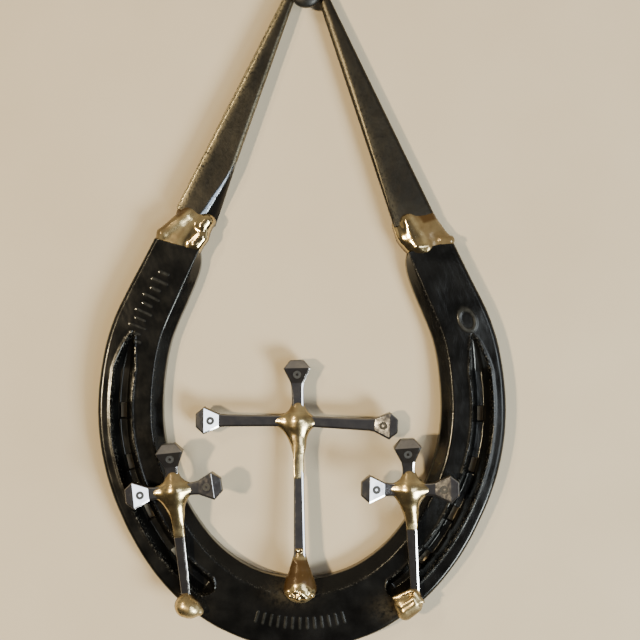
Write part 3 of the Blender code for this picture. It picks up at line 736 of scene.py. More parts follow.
def wall_material():
    """Pale painted plaster. It is clear from behind, so the object's back can be seen."""
    s = Surface("pale_wall")
    cloud = s.noise(60.0, 3.0)
    grain = s.noise(2.4, 4.0)
    colour = s.shade(cloud, 0.35, 0.65, (0.655, 0.545, 0.398), (0.695, 0.583, 0.435))
    s.finish(Base_Color=colour, Roughness=0.7, Normal=s.bump(grain, 0.05))
    clear = s.node("BsdfTransparent", {}).outputs[0]
    behind = s.node("NewGeometry", {}).outputs["Backfacing"]
    mixed = s.node("MixShader", {0: behind, 1: s.shader.outputs[0], 2: clear}).outputs[0]
    s.tree.links.new(mixed, s.tree.nodes["Material Output"].inputs["Surface"])
    return s.material


MATERIALS = {
    "paint": paint_material(),
    "arm": arm_material(),
    "nail": nail_material(),
    "stamp": stamp_material(),
    "soot_and_shade": soot_material(),
    "brass": brass_material(),
    "screw": screw_material(),
}


# --- horseshoe


def natural_spline(points):
    """Closely spaced points on a smooth curve through the given points, and their arc lengths."""
    points = np.array(points, float)
    knots = np.r_[0.0, np.cumsum(np.hypot(*np.diff(points, axis=0).T))]
    steps = np.diff(knots)
    size = len(knots)
    matrix = np.zeros((size, size))
    right = np.zeros((size, 2))
    matrix[0, 0] = matrix[-1, -1] = 1.0
    for i in range(1, size - 1):
        matrix[i, i - 1 : i + 2] = steps[i - 1], 2.0 * (steps[i - 1] + steps[i]), steps[i]
        slope_change = (points[i + 1] - points[i]) / steps[i] - (points[i] - points[i - 1]) / steps[i - 1]
        right[i] = 6.0 * slope_change
    bends = np.linalg.solve(matrix, right)
    dense = np.linspace(0.0, knots[-1], 150 * size)
    span = np.clip(np.searchsorted(knots, dense) - 1, 0, size - 2)
    near = ((knots[span + 1] - dense) / steps[span])[:, None]
    far = 1.0 - near
    bend = (near**3 - near) * bends[span] + (far**3 - far) * bends[span + 1]
    curve = near * points[span] + far * points[span + 1] + bend * (steps[span] ** 2)[:, None] / 6.0
    return curve, np.r_[0.0, np.cumsum(np.hypot(*np.diff(curve, axis=0).T))]


class Shoe:
    """The shoe's outer edge, heel to heel, and its cross-section anywhere along it."""

    def __init__(self):
        low, high = box_mm("horseshoe")
        self.low = low
        self.high = high
        middle = (low[0] + high[0]) / 2.0
        right = [(middle + x, low[2] + z) for x, z in SHOE_OUTER_EDGE]
        left = [(middle - x, low[2] + z) for x, z in SHOE_OUTER_EDGE[-2::-1]]
        self.curve, self.length = natural_spline(right + left)
        self.whole = self.length[-1]
        way = np.gradient(self.curve, axis=0)
        self.way = way / np.hypot(*way.T)[:, None]

    def at(self, run):
        """(edge points, directions into the web, directions along the edge) at these lengths."""
        edge = np.column_stack([np.interp(run, self.length, self.curve[:, i]) for i in (0, 1)])
        along = np.column_stack([np.interp(run, self.length, self.way[:, i]) for i in (0, 1)])
        inward = np.column_stack([along[:, 1], -along[:, 0]])
        side = np.where(run < self.whole / 2.0, -1.0, 1.0)
        turn = side * HEEL_SKEW * np.exp(-self.from_heel(run) / HEEL_SKEW_LENGTH)
        x, z = inward.T
        turned = np.column_stack([x * np.cos(turn) - z * np.sin(turn), x * np.sin(turn) + z * np.cos(turn)])
        return edge, turned, along

    def from_heel(self, run):
        return np.minimum(run, self.whole - run)

    def widths(self, run):
        """(face width, bevel width) at these lengths."""
        heel = self.from_heel(run)
        face = SHOE_FACE_WIDTH - HEEL_NARROWING * bell(heel, HEEL_NARROWING_LENGTH)
        bevel = BEVEL_WIDTH * (1.0 - np.exp(-heel / BEVEL_START_LENGTH))
        bevel += BEVEL_TOE_EXTRA * bell(self.whole / 2.0 - heel, BEVEL_TOE_LENGTH)
        return face, bevel

    def crease(self, run):
        """(offset, half-width, depth) of the nail crease at these lengths."""
        heel = self.from_heel(run)
        share = (heel - CREASE_START) / (CREASE_END - CREASE_START)
        offset = CREASE_OFFSET + CREASE_TOE_SHIFT * np.clip(share, 0.0, 1.0) ** 3
        opened = np.clip((heel - CREASE_START) / CREASE_POINT_LENGTH, 0.0, 1.0) ** 0.7
        rounded = np.clip((CREASE_END - heel) / CREASE_ROUND_LENGTH, 0.0, 1.0) ** 0.5
        size = opened * rounded
        return offset, np.maximum(CREASE_HALF_WIDTH * size, CREASE_LEAST_HALF_WIDTH), CREASE_DEPTH * size


def rounded_step(value, radius):
    """Zero below zero and the value above it, with the corner rounded off."""
    return (value + np.sqrt(value**2 + radius**2)) / 2.0


def front_depth(shoe, run, across):
    """How far the front lies behind the flat face: rounding, crease and inner bevel."""
    face, bevel = shoe.widths(run)
    offset, half, depth = shoe.crease(run)
    at_edge = np.clip(1.0 - across / OUTER_ROUNDING, 0.0, 1.0)
    rounding = OUTER_ROUNDING * (1.0 - np.sqrt(np.clip(1.0 - at_edge**2, 0.0, 1.0)))
    slope = BEVEL_DROP / np.maximum(bevel, 0.3)
    inner = rounded_step((across - face) * slope, BEVEL_CORNER) - 0.02
    side = (across - offset) / half
    wall = np.where(side < 0.0, *CREASE_WALLS) * np.clip(1.0 - np.abs(side), 0.0, 1.0)
    groove = depth * np.clip(wall, 0.0, 1.0) ** CREASE_BOTTOM_POWER
    lip = LIP_HEIGHT * bell((np.abs(side) - LIP_PLACE) * half, LIP_WIDTH) * np.clip(depth, 0.0, 1.0)
    return np.maximum(rounding, 0.0) + np.clip(inner, 0.0, BEVEL_DROP + 0.3) + groove - lip


def ticks(run, across, places, middle, half_lengths):
    """Raised ticks that lie across the web at these lengths, 1 high. Their half-lengths take turns."""
    height = np.zeros(np.broadcast(run, across).shape)
    for i, place in enumerate(places):
        aside = np.maximum(np.abs(across - middle) - half_lengths[i % len(half_lengths)], 0.0)
        height = np.maximum(height, bell(np.hypot(run - place, aside), TICK_RADIUS, 4))
    return height


def marks_height(shoe, run, across):
    """Height of the raised marks."""
    heel = shoe.whole - run
    places = BRANCH_TICK_START + TICK_SPACING * np.arange(BRANCH_TICKS)
    branch_ticks = ticks(heel, across, places, BRANCH_TICK_ACROSS, BRANCH_TICK_HALF_LENGTHS)
    places = shoe.whole / 2.0 + TICK_SPACING * np.arange(-TOE_TICKS_PER_SIDE, TOE_TICKS_PER_SIDE + 1)
    toe_ticks = ticks(run, across, places, TOE_TICK_ACROSS, (TOE_TICK_HALF_LENGTH,))
    around = np.hypot((run - OVAL_PLACE[0]) / OVAL_RADII[0], (across - OVAL_PLACE[1]) / OVAL_RADII[1])
    oval = bell(around - 1.0, OVAL_LINE, 4)
    rows = (BRANCH_TICK_STRENGTH * branch_ticks, TOE_TICK_STRENGTH * toe_ticks, oval)
    return MARK_HEIGHT * np.maximum.reduce(rows)


def shoe_stations(shoe):
    """Lengths along the edge, closer where there are marks and where the crease ends."""
    toe = shoe.whole / 2.0
    close = [
        (0.0, 1.5),
        (CREASE_START - 9.0, CREASE_START + 2.0),
        (CREASE_END - 4.0, CREASE_END + 1.0),
        (toe - TOE_MARKS_REACH, toe + TOE_MARKS_REACH),
        (shoe.whole - CREASE_END - 1.0, shoe.whole - CREASE_END + 4.0),
        (shoe.whole - CREASE_START - 4.0, shoe.whole),
    ]
    stations = [0.0]
    while stations[-1] < shoe.whole:
        here = stations[-1]
        is_close = any(start <= here < end for start, end in close)
        stations.append(here + (CLOSE_STATION_SPACING if is_close else STATION_SPACING))
    return np.array(stations[:-1] + [shoe.whole])


def shoe_ring_places(shoe, run):
    """(across, y) points of one cross-section, from the back's outer edge round the front."""
    face, bevel = (float(w[0]) for w in shoe.widths(np.array([run])))
    web = face + bevel
    front = shoe.low[1] - shoe.high[1]
    r = BACK_ROUNDING
    corner = np.linspace(0.0, math.pi / 2.0, 4)
    back_outer = [(r - r * math.sin(a), r * math.cos(a) - r) for a in corner]
    outer = [(0.0, y) for y in np.linspace(-1.2, front + OUTER_ROUNDING, 7)]
    arc = [OUTER_ROUNDING * (1.0 - math.cos(a)) for a in np.linspace(0.18, math.pi / 2.0, 7)]
    flat = np.linspace(OUTER_ROUNDING, face, 62)[1:]
    slope = face + bevel * np.linspace(0.0, 1.0, 11)[1:-1]
    across = np.r_[arc, flat, slope, web - 0.1]
    depth = front_depth(shoe, np.full(len(across), run), across)
    marks = marks_height(shoe, run, across)
    top = [(u, front + d - m) for u, d, m in zip(across, depth, marks)]
    inner = [(web, y) for y in np.linspace(top[-1][1] + 0.25, -r, 6)]
    back_inner = [(web - r + r * math.cos(a), r * math.sin(a) - r) for a in corner[1:]]
    back = [(u, 0.0) for u in np.linspace(web - r, r, 12)[1:-1]]
    return back_outer + outer + top + inner + back_inner + back


def build_shoe(shoe):
    run = shoe_stations(shoe)
    edge, inward, _ = shoe.at(run)
    rings = []
    for length, point, across in zip(run, edge, inward):
        places = shoe_ring_places(shoe, length)
        rings.append([(point[0] + u * across[0], y, point[1] + u * across[1]) for u, y in places])
    points, faces = loft(rings)
    piece = make_piece("shoe", points, faces, MATERIALS["paint"])
    forge(piece)
    wear, raised = shoe_wear(shoe, run)
    carry(piece, "wear", wear)
    carry(piece, "raised", raised)
    carry(piece, "brown_patch", shoe_brown_patches(points))
    cut(piece, hole_cutter(shoe))
    piece.data.shade_smooth()
    piece.data.set_sharp_from_angle(angle=math.radians(50))
    settle(piece, "horseshoe")


def forge(piece):
    """Small dents and waves of a forged skin, always inwards so that the size stays."""
    mesh = piece.data
    points = np.array([v.co for v in mesh.vertices]) / MM
    normals = np.array([v.normal for v in mesh.vertices])
    dent = sum(depth * waves(points, length, seed) for depth, length, seed in FORGE_WAVES)
    sunk = np.maximum(dent + FORGE_DEPTH, FORGE_LEAST_DEPTH)
    moved = (points - normals * sunk[:, None]) * MM
    mesh.vertices.foreach_set("co", moved.astype(np.float32).ravel())
    mesh.update()


def carry(piece, name, values):
    """Gives the mesh a value at every vertex, which its material reads."""
    attribute = piece.data.attributes.new(name, "FLOAT", "POINT")
    attribute.data.foreach_set("value", np.asarray(values, np.float32))


def shoe_wear(shoe, run):
    """Where the edges are worn, and where the raised marks are, from 0 to 1 for every vertex."""
    front = shoe.low[1] - shoe.high[1]
    wear = []
    raised = []
    for length in run:
        across, deep = np.array(shoe_ring_places(shoe, length)).T
        offset, half, depth = (float(v[0]) for v in shoe.crease(np.array([length])))
        face = float(shoe.widths(np.array([length]))[0][0])
        lip = 0.55 * bell(np.abs(across - offset) - half, 0.6) * min(1.0, depth)
        edge = 0.3 * bell(across - face, 0.35)
        wear.append(np.where(deep < front + 2.0, np.maximum(lip, edge), 0.0))
        height = marks_height(shoe, length, across) / MARK_HEIGHT
        raised.append(np.where(deep < front + 1.0, height, 0.0))
    return np.concatenate(wear), np.concatenate(raised)


def shoe_brown_patches(points):
    """Brownish patches on the shoe up and to the left of the feet of the crosses, from 0 to 1."""
    total = np.zeros(len(points))
    for node in ("centre_cross_foot_braze", "left_cross_foot_braze", "right_cross_foot_braze"):
        low, high = box_mm(node)
        x = (low[0] + high[0]) / 2.0 + BROWN_PATCH_OFFSET[0]
        z = low[2] + BROWN_PATCH_OFFSET[1]
        total += bell(np.hypot((points[:, 0] - x) / BROWN_PATCH_SIZE[0], (points[:, 2] - z) / BROWN_PATCH_SIZE[1]), 1.0)
    return np.clip(total, 0.0, 1.0)


def hole_cutter(shoe):
    """All nail holes as one cutter, each tapering towards the back."""
    points = []
    faces = []
    front = shoe.low[1] - shoe.high[1]
    signs = ((-1, -1), (1, -1), (1, 1), (-1, 1))
    for side in (0, 1):
        for i in range(HOLES_PER_BRANCH):
            heel = HOLE_FIRST + i * HOLE_SPACING
            run = np.array([shoe.whole - heel if side else heel])
            edge, inward, along = (v[0] for v in shoe.at(run))
            middle = edge + inward * shoe.crease(run)[0][0]
            rings = []
            for y, size in ((front + HOLE_OVERRUN, 1.0 + HOLE_TAPER), (HOLE_OVERRUN, 1.0 - HOLE_TAPER)):
                half_width = inward * size * HOLE_WIDTH / 2.0
                half_length = along * size * HOLE_LENGTH / 2.0
                corners = [middle + half_width * a + half_length * b for a, b in signs]
                rings.append([(x, y, z) for x, z in corners])
            hole, sides = loft(rings)
            faces += [tuple(k + len(points) for k in face) for face in sides]
            points += list(hole)
    return make_piece("hole_cutter", points, faces, MATERIALS["soot_and_shade"])


# --- arms


def rounded_bar(width, thickness, radius, steps=4):
    """A rounded rectangle as (across, deep) points."""
    ring = []
    for a, b, start in ((1, 1, 0.0), (-1, 1, 0.5), (-1, -1, 1.0), (1, -1, 1.5)):
        for i in range(steps + 1):
            angle = math.pi * (start + 0.5 * i / steps)
            u = a * (width / 2.0 - radius) + radius * math.cos(angle)
            v = b * (thickness / 2.0 - radius) + radius * math.sin(angle)
            ring.append((u, v))
    return ring


def arm_lines(side):
    """((outer heel, outer tip), (inner heel, inner tip)) corners of an arm, as (x, z)."""
    out = -1.0 if side == "left" else 1.0
    node = f"{side}_arm"
    outer = farthest(node, out, 0.3), farthest(node, 0.0, 1.0)
    inner = farthest(node, -out, -1.0), farthest(node, -out, -0.1)
    return outer, inner


def rounded_edges(place, width, reaches):
    """How far a surface falls away at its two edges, which are rounded this far in."""
    fall = np.zeros(len(place))
    for away, reach in zip((place, width - place), reaches):
        inside = np.clip(1.0 - away / reach, 0.0, 1.0)
        fall += ARM_ROUNDING * (1.0 - np.sqrt(1.0 - inside**2))
    return fall


def arm_section(side, width, thickness, share):
    """One ring of an arm as (across, deep, edge, ground, painted shade) rows, from its inner edge round the
    front.
    """
    turn = ARM_ROUNDING * (1.0 - np.cos(np.linspace(0.0, math.pi / 2.0, 7)))
    flat = np.linspace(ARM_ROUNDING, width - ARM_ROUNDING, 40)[1:-1]
    place = np.r_[turn, flat, width - turn[::-1]]
    reaches = [heel + (tip - heel) * share for heel, tip in ARM_FRONT_ROUNDING[side]]
    front = rounded_edges(place, width, reaches) - thickness / 2.0
    back = thickness / 2.0 - rounded_edges(place, width, (ARM_ROUNDING, ARM_ROUNDING))
    if side == "left":
        facets = []
        for reach, height, slope in GRINDS:
            here = reach * (1.0 - share / height)
            front = front + slope * np.clip(here - place, 0.0, None)
            facets.append(np.where(place < here, 1.0, 0.0))
        # the first facet is ground bright, the steeper second one is painted near black as shade
        ground, soot_and_shade = facets
    else:
        ground = np.zeros(len(place))
        # painted shade along the inner edge near the heel, fading out up the arm
        soot_and_shade = np.clip(1.1 - 1.5 * share, 0.0, 0.9) * bell(place, PAINTED_SHADE_REACH)
    front = np.minimum(front, thickness / 2.0 - ARM_ROUNDING)
    inner_wear, outer_wear = ARM_EDGE_WEAR[side]
    inner_reach, outer_reach = ARM_EDGE_REACH[side]
    edge = inner_wear * bell(place, inner_reach) + outer_wear * bell(width - place, outer_reach)
    edge = edge * (1.0 - soot_and_shade) * bell(front + thickness / 2.0, ARM_EDGE_DEPTH)
    ground = np.clip(ground - soot_and_shade, 0.0, 1.0)
    across = place - width / 2.0
    none = np.zeros(len(place))
    front_rows = np.column_stack([across, front, edge, ground, soot_and_shade])
    back_rows = np.column_stack([across, back, ARM_BACK_WEAR * edge, none, none])
    return np.concatenate([front_rows, back_rows[::-4]])


def build_arm(side):
    (outer_heel, outer_tip), (inner_heel, inner_tip) = arm_lines(side)
    low, high = box_mm(f"{side}_arm")
    middle_y = (low[1] + high[1]) / 2.0
    heel_thickness = high[1] - low[1]
    rings = []
    marks = []
    for share in np.r_[-ARM_SINK, np.linspace(0.0, 1.0, ARM_RINGS)]:
        outer = outer_heel + (outer_tip - outer_heel) * share
        inner = inner_heel + (inner_tip - inner_heel) * share
        width = np.linalg.norm(outer - inner)
        thickness = heel_thickness + (ARM_TIP_THICKNESS - heel_thickness) * share
        across = (outer - inner) / width
        centre = (outer + inner) / 2.0
        section = arm_section(side, width, thickness, share)
        u, v = section[:, :2].T
        rings.append(np.column_stack([centre[0] + across[0] * u, middle_y + v, centre[1] + across[1] * u]))
        marks.append(section[:, 2:])
    points, faces = loft(rings)
    long_seed, short_seed = ARM_SEEDS[side]
    points[:, 1] += 0.05 * waves(points, 16.0, long_seed) + 0.015 * waves(points, 3.0, short_seed)
    piece = make_piece(f"{side}_arm_bar", points, faces, MATERIALS["arm"], sharp=40)
    along = np.clip((points[:, 2] - outer_heel[1]) / (outer_tip[1] - outer_heel[1]), 0.0, 1.0)
    carry(piece, "heat", np.interp(along, (0.0, 0.5, 1.0), ARM_HEAT[side]))
    for name, values in zip(("edge", "ground", "soot_and_shade"), np.concatenate(marks).T):
        carry(piece, name, values)
    settle(piece, f"{side}_arm")


# --- nails


def nail_ring(width, thickness, radius, bevel_side, slope):
    """(across, deep) points of a nail's section, with a narrow bevel on one side of its front."""
    ring = []
    for u, v in rounded_bar(width, thickness, radius, 5):
        near = bevel_side * u - (width / 2.0 - NAIL_BEVEL)
        ring.append((u, max(v, slope * near - thickness / 2.0) if v < 0.0 else v))
    corner = (radius - width / 2.0, -thickness / 2.0)
    start = ring.index(min(ring, key=lambda place: math.dist(place, corner)))
    middle = (bevel_side * (width / 2.0 - NAIL_BEVEL), -thickness / 2.0)
    return ring[: start + 1] + [middle] + ring[start + 1 :]


def hub_place(cross):
    """Where the tips of a cross's side nails meet."""
    tips = [nail_axis(f"{cross}_cross_{side}_nail")[1] for side in ("left", "right")]
    return (tips[0] + tips[1]) / 2.0


def nail_stages(node, length):
    """(distance from the crown, width, thickness, corner radius) all along a nail of this length."""
    shank = np.array(NAIL_STAGES[-1])
    taper = np.clip((length - shank[0]) / NAIL_TAPER_LENGTH, 0.0, 1.0)
    end = shank[1:] + (np.array(NAIL_TIP) - shank[1:]) * taper
    stages = [np.array(stage) for stage in NAIL_STAGES if stage[0] < length - 0.5]
    last = stages[-1]
    steps = max(2, int((length - last[0]) / NAIL_RING_SPACING))
    stages += [last + (np.array((length, *end)) - last) * i / steps for i in range(1, steps + 1)]
    if node == "centre_cross_foot_nail":
        for stage in stages:
            if stage[0] < NAIL_NECK[0]:
                stage[1:3] *= SUNK_HEAD
    return stages


def build_nail(node):
    crown, tip = nail_axis(node)
    length, along, deep, across = shank_axes(crown, tip)
    bevel_side = math.copysign(1.0, across @ (1.0, 0.0, -0.3))
    cross = node.split("_")[0]
    slope = math.tan(math.radians(NAIL_BEVEL_TURN[cross]))
    rings = []
    for distance, width, thickness, radius in nail_stages(node, length):
        centre = crown + along * distance
        section = nail_ring(width, thickness, radius, bevel_side, slope)
        rings.append([centre + across * u + deep * v for u, v in section])
    points, faces = loft(rings)
    piece = make_piece(node + "_steel", points, faces, MATERIALS["nail"], sharp=8)
    # painted shade on the faces turned away from the front
    facing = np.array([v.normal[:] for v in piece.data.vertices]) @ deep
    carry(piece, "side", np.interp(facing, (-0.8, -0.55), (0.0, 1.0)))
    off = points - hub_place(cross)
    reach = np.where(off[:, 2] < -4.0, NAIL_HEAT_REACH[cross], 2.0)
    past = np.clip(np.linalg.norm(off, axis=1) - NAIL_HEAT_START, 0.0, None)
    carry(piece, "heat", bell(past, reach))
    cut(piece, stamp_cutter(crown, along, deep, across))
    piece.data.set_sharp_from_angle(angle=math.radians(6))
    settle(piece, node)


def stamp_cutter(crown, along, deep, across):
    """A ring that presses a plain round stamp into the head's front face."""
    ridge = NAIL_RIDGE
    neck = NAIL_NECK
    middle = (ridge[0] + neck[0]) / 2.0 - STAMP_SHIFT
    slope = (ridge[2] - neck[2]) / 2.0 / (neck[0] - ridge[0])
    depth = neck[2] / 2.0 + slope * (neck[0] - middle)
    normal = unit(along * slope - deep)
    face_along = np.cross(normal, across)
    centre = crown + along * middle - deep * depth
    inner, outer = STAMP_RADII
    section = ((inner, -STAMP_DEPTH), (inner, 0.3), (outer, 0.3), (outer, -STAMP_DEPTH))
    points = []
    faces = []
    for i in range(STAMP_SIDES):
        angle = 2.0 * math.pi * i / STAMP_SIDES
        out = across * math.cos(angle) + face_along * math.sin(angle)
        points += [centre + out * reach + normal * height for reach, height in section]
        for j in range(4):
            here = i * 4
            beside = (i + 1) % STAMP_SIDES * 4
            k = (j + 1) % 4
            faces.append((here + j, here + k, beside + k, beside + j))
    return make_piece("stamp_cutter", points, faces, MATERIALS["stamp"])


# --- brazes


def heel_corners(shoe, side):
    """The shoe's heel end as its inner and outer (x, z) corners."""
    run = np.array([0.0 if side == "right" else shoe.whole])
    edge, inward, _ = shoe.at(run)
    face, bevel = shoe.widths(run)
    return edge[0] + inward[0] * (face[0] + bevel[0]), edge[0]


def square_to(line):
    """The unit direction square to an (x, z) line, pointing down."""
    across = np.array([line[1], -line[0]]) / np.linalg.norm(line)
    return across if across[1] < 0.0 else -across


def between_lines(first, second, along, aside):
    """The (x, z) point this share of the way along and across a four-sided patch."""
    start = first[0] + (first[1] - first[0]) * along
    end = second[0] + (second[1] - second[0]) * along
    return start + (end - start) * aside


def build_heel_braze(shoe, side):
    (outer_arm, _), (inner_arm, _) = arm_lines(side)
    inner_heel, outer_heel = heel_corners(shoe, side)
    inner_line = (inner_arm, inner_heel)
    outer_line = (outer_arm, outer_heel)
    down_arm = square_to(outer_arm - inner_arm)
    down_heel = square_to(outer_heel - inner_heel)
    low, high = box_mm(f"{side}_heel_braze")
    middle_y = (low[1] + high[1]) / 2.0
    front = low[1] + BRAZE_FRONT
    seed = BRAZE_SEEDS[side]
    waist, hollow = BRAZE_SIDES[side]

    def section(share):
        """Inner sides and ways to the outer side, these shares of the way from the arm to the shoe."""
        inner = inner_arm + (inner_heel - inner_arm) * share[..., None]
        outer = outer_arm + (outer_heel - outer_arm) * share[..., None]
        return inner, outer - inner

    def body(points):
        """Distance to a squarish bar from the arm to the shoe, drawn in halfway."""
        flat = points[..., [0, 2]]
        past_arm = (flat - inner_arm) @ down_arm
        to_heel = (inner_heel - flat) @ down_heel
        share = np.clip(past_arm, 0.0, None) / np.clip(past_arm + to_heel, 4.0, None)
        share = np.clip(share, 0.0, 1.0)
        inner, across = section(share)
        width = np.linalg.norm(across, axis=-1)
        swell = np.sin(np.pi * share)
        start = hollow * swell - 0.2
        end = width - waist * swell**1.5 + 0.1
        half = (end - start) / 2.0
        thick = (high[1] - low[1]) / 2.0 - 1.1 * (1.0 - share) ** 2 - BRAZE_FRONT + 0.3 * swell
        u = ((flat - inner) * across).sum(axis=-1) / width
        u = np.abs(u - (start + end) / 2.0) / half
        v = np.abs(points[..., 1] - middle_y - 0.1) / thick
        outline = (u**BRAZE_SQUARENESS + v**BRAZE_SQUARENESS) ** (1.0 / BRAZE_SQUARENESS)
        ragged = 0.5 * waves(points * (1.0, 0.3, 1.0), 5.0, seed + 5)
        ends = np.minimum(past_arm + 0.25, to_heel + 1.1 + ragged)
        return -melt([(1.0 - outline) * np.minimum(half, thick), ends], 0.3)

    def field(points):
        lumps = [body(points)]
        for start, end, radius, proud in BRAZE_LUMPS[side]:
            y = front + radius - proud
            (x1, z1), (x2, z2) = (between_lines(inner_line, outer_line, *place) for place in (start, end))
            lumps.append(limb(points, (x1, y, z1), (x2, y, z2), radius, radius))
        return melt(lumps, 0.5) + 0.1 * waves(points, 6.5, seed) + 0.02 * waves(points, 2.4, seed + 10)

    def patch_place(points):
        """(share of the way from the arm to the shoe, share of the way across) of points."""
        flat = points[:, [0, 2]]
        past_arm = np.clip((flat - inner_arm) @ down_arm, 0.0, None)
        share = past_arm / (past_arm + np.clip((inner_heel - flat) @ down_heel, 1.0, None))
        inner, across = section(share)
        return share, ((flat - inner) * across).sum(axis=1) / (across**2).sum(axis=1)

    def ridge(points):
        share, aside = patch_place(points)
        return BRAZE_RIDGE[side] * bell(aside - 0.55 - 0.25 * share, 0.1)

    # Painted shade: brown on the outer side and in the corner by the arm, kept off the ridge, in place of
    # dark reflections there.
    def browned(points):
        share, aside = patch_place(points)
        corner = np.clip((aside - 0.4) / 0.25, 0.0, 1.0) * np.clip((0.62 - share) / 0.3, 0.0, 1.0)
        outside = np.clip((aside - 0.38) / 0.15, 0.0, 1.0)
        return np.maximum(corner, 0.8 * outside) * (1.0 - 0.9 * ridge(points))

    def satin(points):
        return 0.7 * ridge(points)

    brass_piece(f"{side}_heel_brass", f"{side}_heel_braze", field, 3.5, LARGE_SKIN_STEP, satin, browned)


def build_apex_braze():
    low, high = box_mm("apex_braze")
    x, y, _ = (low + high) / 2.0

    def field(points):
        body = limb(points, (x, y, 6.0), (x, y, 11.2), 3.9, 3.4, 0.85)
        legs = [limb(points, (3.4 * s, y, 2.9), (2.2 * s, y, 8.0), 1.9, 2.4, 0.9) for s in (-1, 1)]
        lump = melt([body, *legs], 0.8) + 0.12 * waves(points, 4.0, 31)
        saddle = np.hypot(points[..., 0], points[..., 2]) - SADDLE_RADIUS
        return -melt([-lump, saddle], 0.15)

    brass_piece("apex_brass", "apex_braze", field, 3.0, LARGE_SKIN_STEP)


def sleeve(points, start, end, half_width, half_depth, tilt):
    """Distance to a thin skin of brass along a shank, whose right front side is turned to the right."""
    length, along, deep, across = shank_axes(start, end)
    across = across * math.copysign(1.0, across[0])
    off = points - start
    u, v, run = off @ across, off @ deep, off @ along
    planes = [
        -v - half_depth,
        u * math.sin(tilt) - v * math.cos(tilt) - half_depth * math.cos(tilt),
        v - half_depth,
        u - half_width,
        -u - half_width,
        np.abs(run - length / 2.0) - length / 2.0,
    ]
    return -melt([-p for p in planes], 0.12)


def build_hub(cross, nails):
    """Brass that has run along the nails from where they cross."""
    axes = {name: nail_axis(f"{cross}_cross_{name}_nail") for name in nails}
    hub = hub_place(cross)
    low, high = box_mm(f"{cross}_cross_hub_braze")
    top = axes["top" if cross == "centre" else "upright"][0]
    foot = axes["foot"][0] if cross == "centre" else axes["upright"][1]
    up = unit(top - hub)
    down = unit(foot - hub)
    ways = {"up": (up, HUB_REACH["up"]), "down": (down, HUB_REACH["down"])}
    for name, side in (("left", low), ("right", high)):
        ways[name] = (unit(axes[name][0] - hub), abs(side[0] - hub[0]) - 0.4)
    tail_end = hub + down * HUB_TAILS[cross]

    def field(points):
        points = hub + (points - hub) * (1.0, HUB_FLATNESS, 1.0)
        parts = [limb(points, hub, hub + down * 1.2, 3.0, 2.7, 0.95)]
        for name, (way, far) in ways.items():
            parts.append(limb(points, hub, hub + way * far, 2.5, HUB_END_RADIUS[name], 0.8))
        for name, out, fall in HUB_WEBS:
            way, far = ways[name]
            parts.append(limb(points, hub + way * far * out, hub + down * fall, 1.0, 1.4, 0.9))
        lump = melt(parts, 0.8) + 0.035 * waves(points, 5.0, HUB_SEEDS[cross])
        tail_start = hub + down * HUB_TAIL_START
        tail = sleeve(points, tail_start, tail_end, *HUB_TAIL_HALF_SIZE, HUB_TAIL_TILT)
        return melt([lump, tail], 0.3)

    def browned(points):
        return np.clip(((points - hub) @ up - 1.5) / 3.0, 0.0, 0.65)

    reach = (4.0, 2.0, max(12.0, HUB_TAILS[cross] - 8.0))
    brass_piece(f"{cross}_hub_brass", f"{cross}_cross_hub_braze", field, reach, SKIN_STEP, 0.45, browned)


def build_centre_foot():
    low, high = box_mm("centre_cross_foot_braze")
    crown, tip = nail_axis("centre_cross_foot_nail")
    lean = (tip - crown) / (tip[2] - crown[2])
    heights = [(low[2] + rise, radius) for rise, radius in CONE_STAGES]
    heights.append((high[2] - CONE_NECK[0], CONE_NECK[1]))
    stages = [(crown + lean * (z - crown[2]), radius) for z, radius in heights]
    base = stages[0][0]
    neck = stages[-1][0]
    skirt_start, skirt_end, *skirt_shape = CONE_SKIRT

    def field(points):
        cone = [limb(points, a, b, ra, rb, 0.8) for (a, ra), (b, rb) in zip(stages[:-1], stages[1:])]
        skirt = limb(points, base + skirt_start, base + skirt_end, *skirt_shape)
        lumps = [ball(points, base + place, size) for place, size in CONE_LUMPS]
        drops = [ball(points, neck + place, size) for place, size in CONE_DROPS]
        return melt([melt([*cone, skirt], 0.4), *lumps, *drops], 0.22) + 0.04 * waves(points, 3.5, 52)

    def browned(points):
        bright = 5.0 - 0.13 * (points[:, 0] - base[0]) ** 2 + 0.5 * waves(points, 3.0, 53)
        above = np.clip(points[:, 2] - low[2] - bright, 0.0, 1.0)
        return above * np.clip((high[2] - 2.0 - points[:, 2]) / 1.5, 0.0, 1.0)

    brass_piece("centre_foot_brass", "centre_cross_foot_braze", field, 4.0, SKIN_STEP, 0.4, browned)


def build_small_foot(side):
    limbs, (rise, radius), fillet, (height, length, seed), brown = SMALL_FEET[side]
    low, high = box_mm(f"{side}_cross_foot_braze")
    middle = (low + high) / 2.0
    tip = nail_axis(f"{side}_cross_upright_nail")[1]

    def field(points):
        parts = [limb(points, middle + a, middle + b, ra, rb, flat) for a, b, ra, rb, flat in limbs]
        parts.append(limb(points, tip, tip + (-0.1, -0.4, rise), radius, 1.5, 0.9))
        if side == "right":
            parts.append(block(points - middle, FOOT_CAP, 0.15))
        return melt(parts, fillet) + height * waves(points, length, seed)

    def browned(points):
        below = middle[2] - 0.5 - points[:, 2] + 0.5 * (points[:, 0] - middle[0])
        return brown * np.clip(below / 2.5, 0.0, 1.0)

    brass_piece(f"{side}_foot_brass", f"{side}_cross_foot_braze", field, 4.0, SKIN_STEP, 0.75, browned)


# --- hanging screw


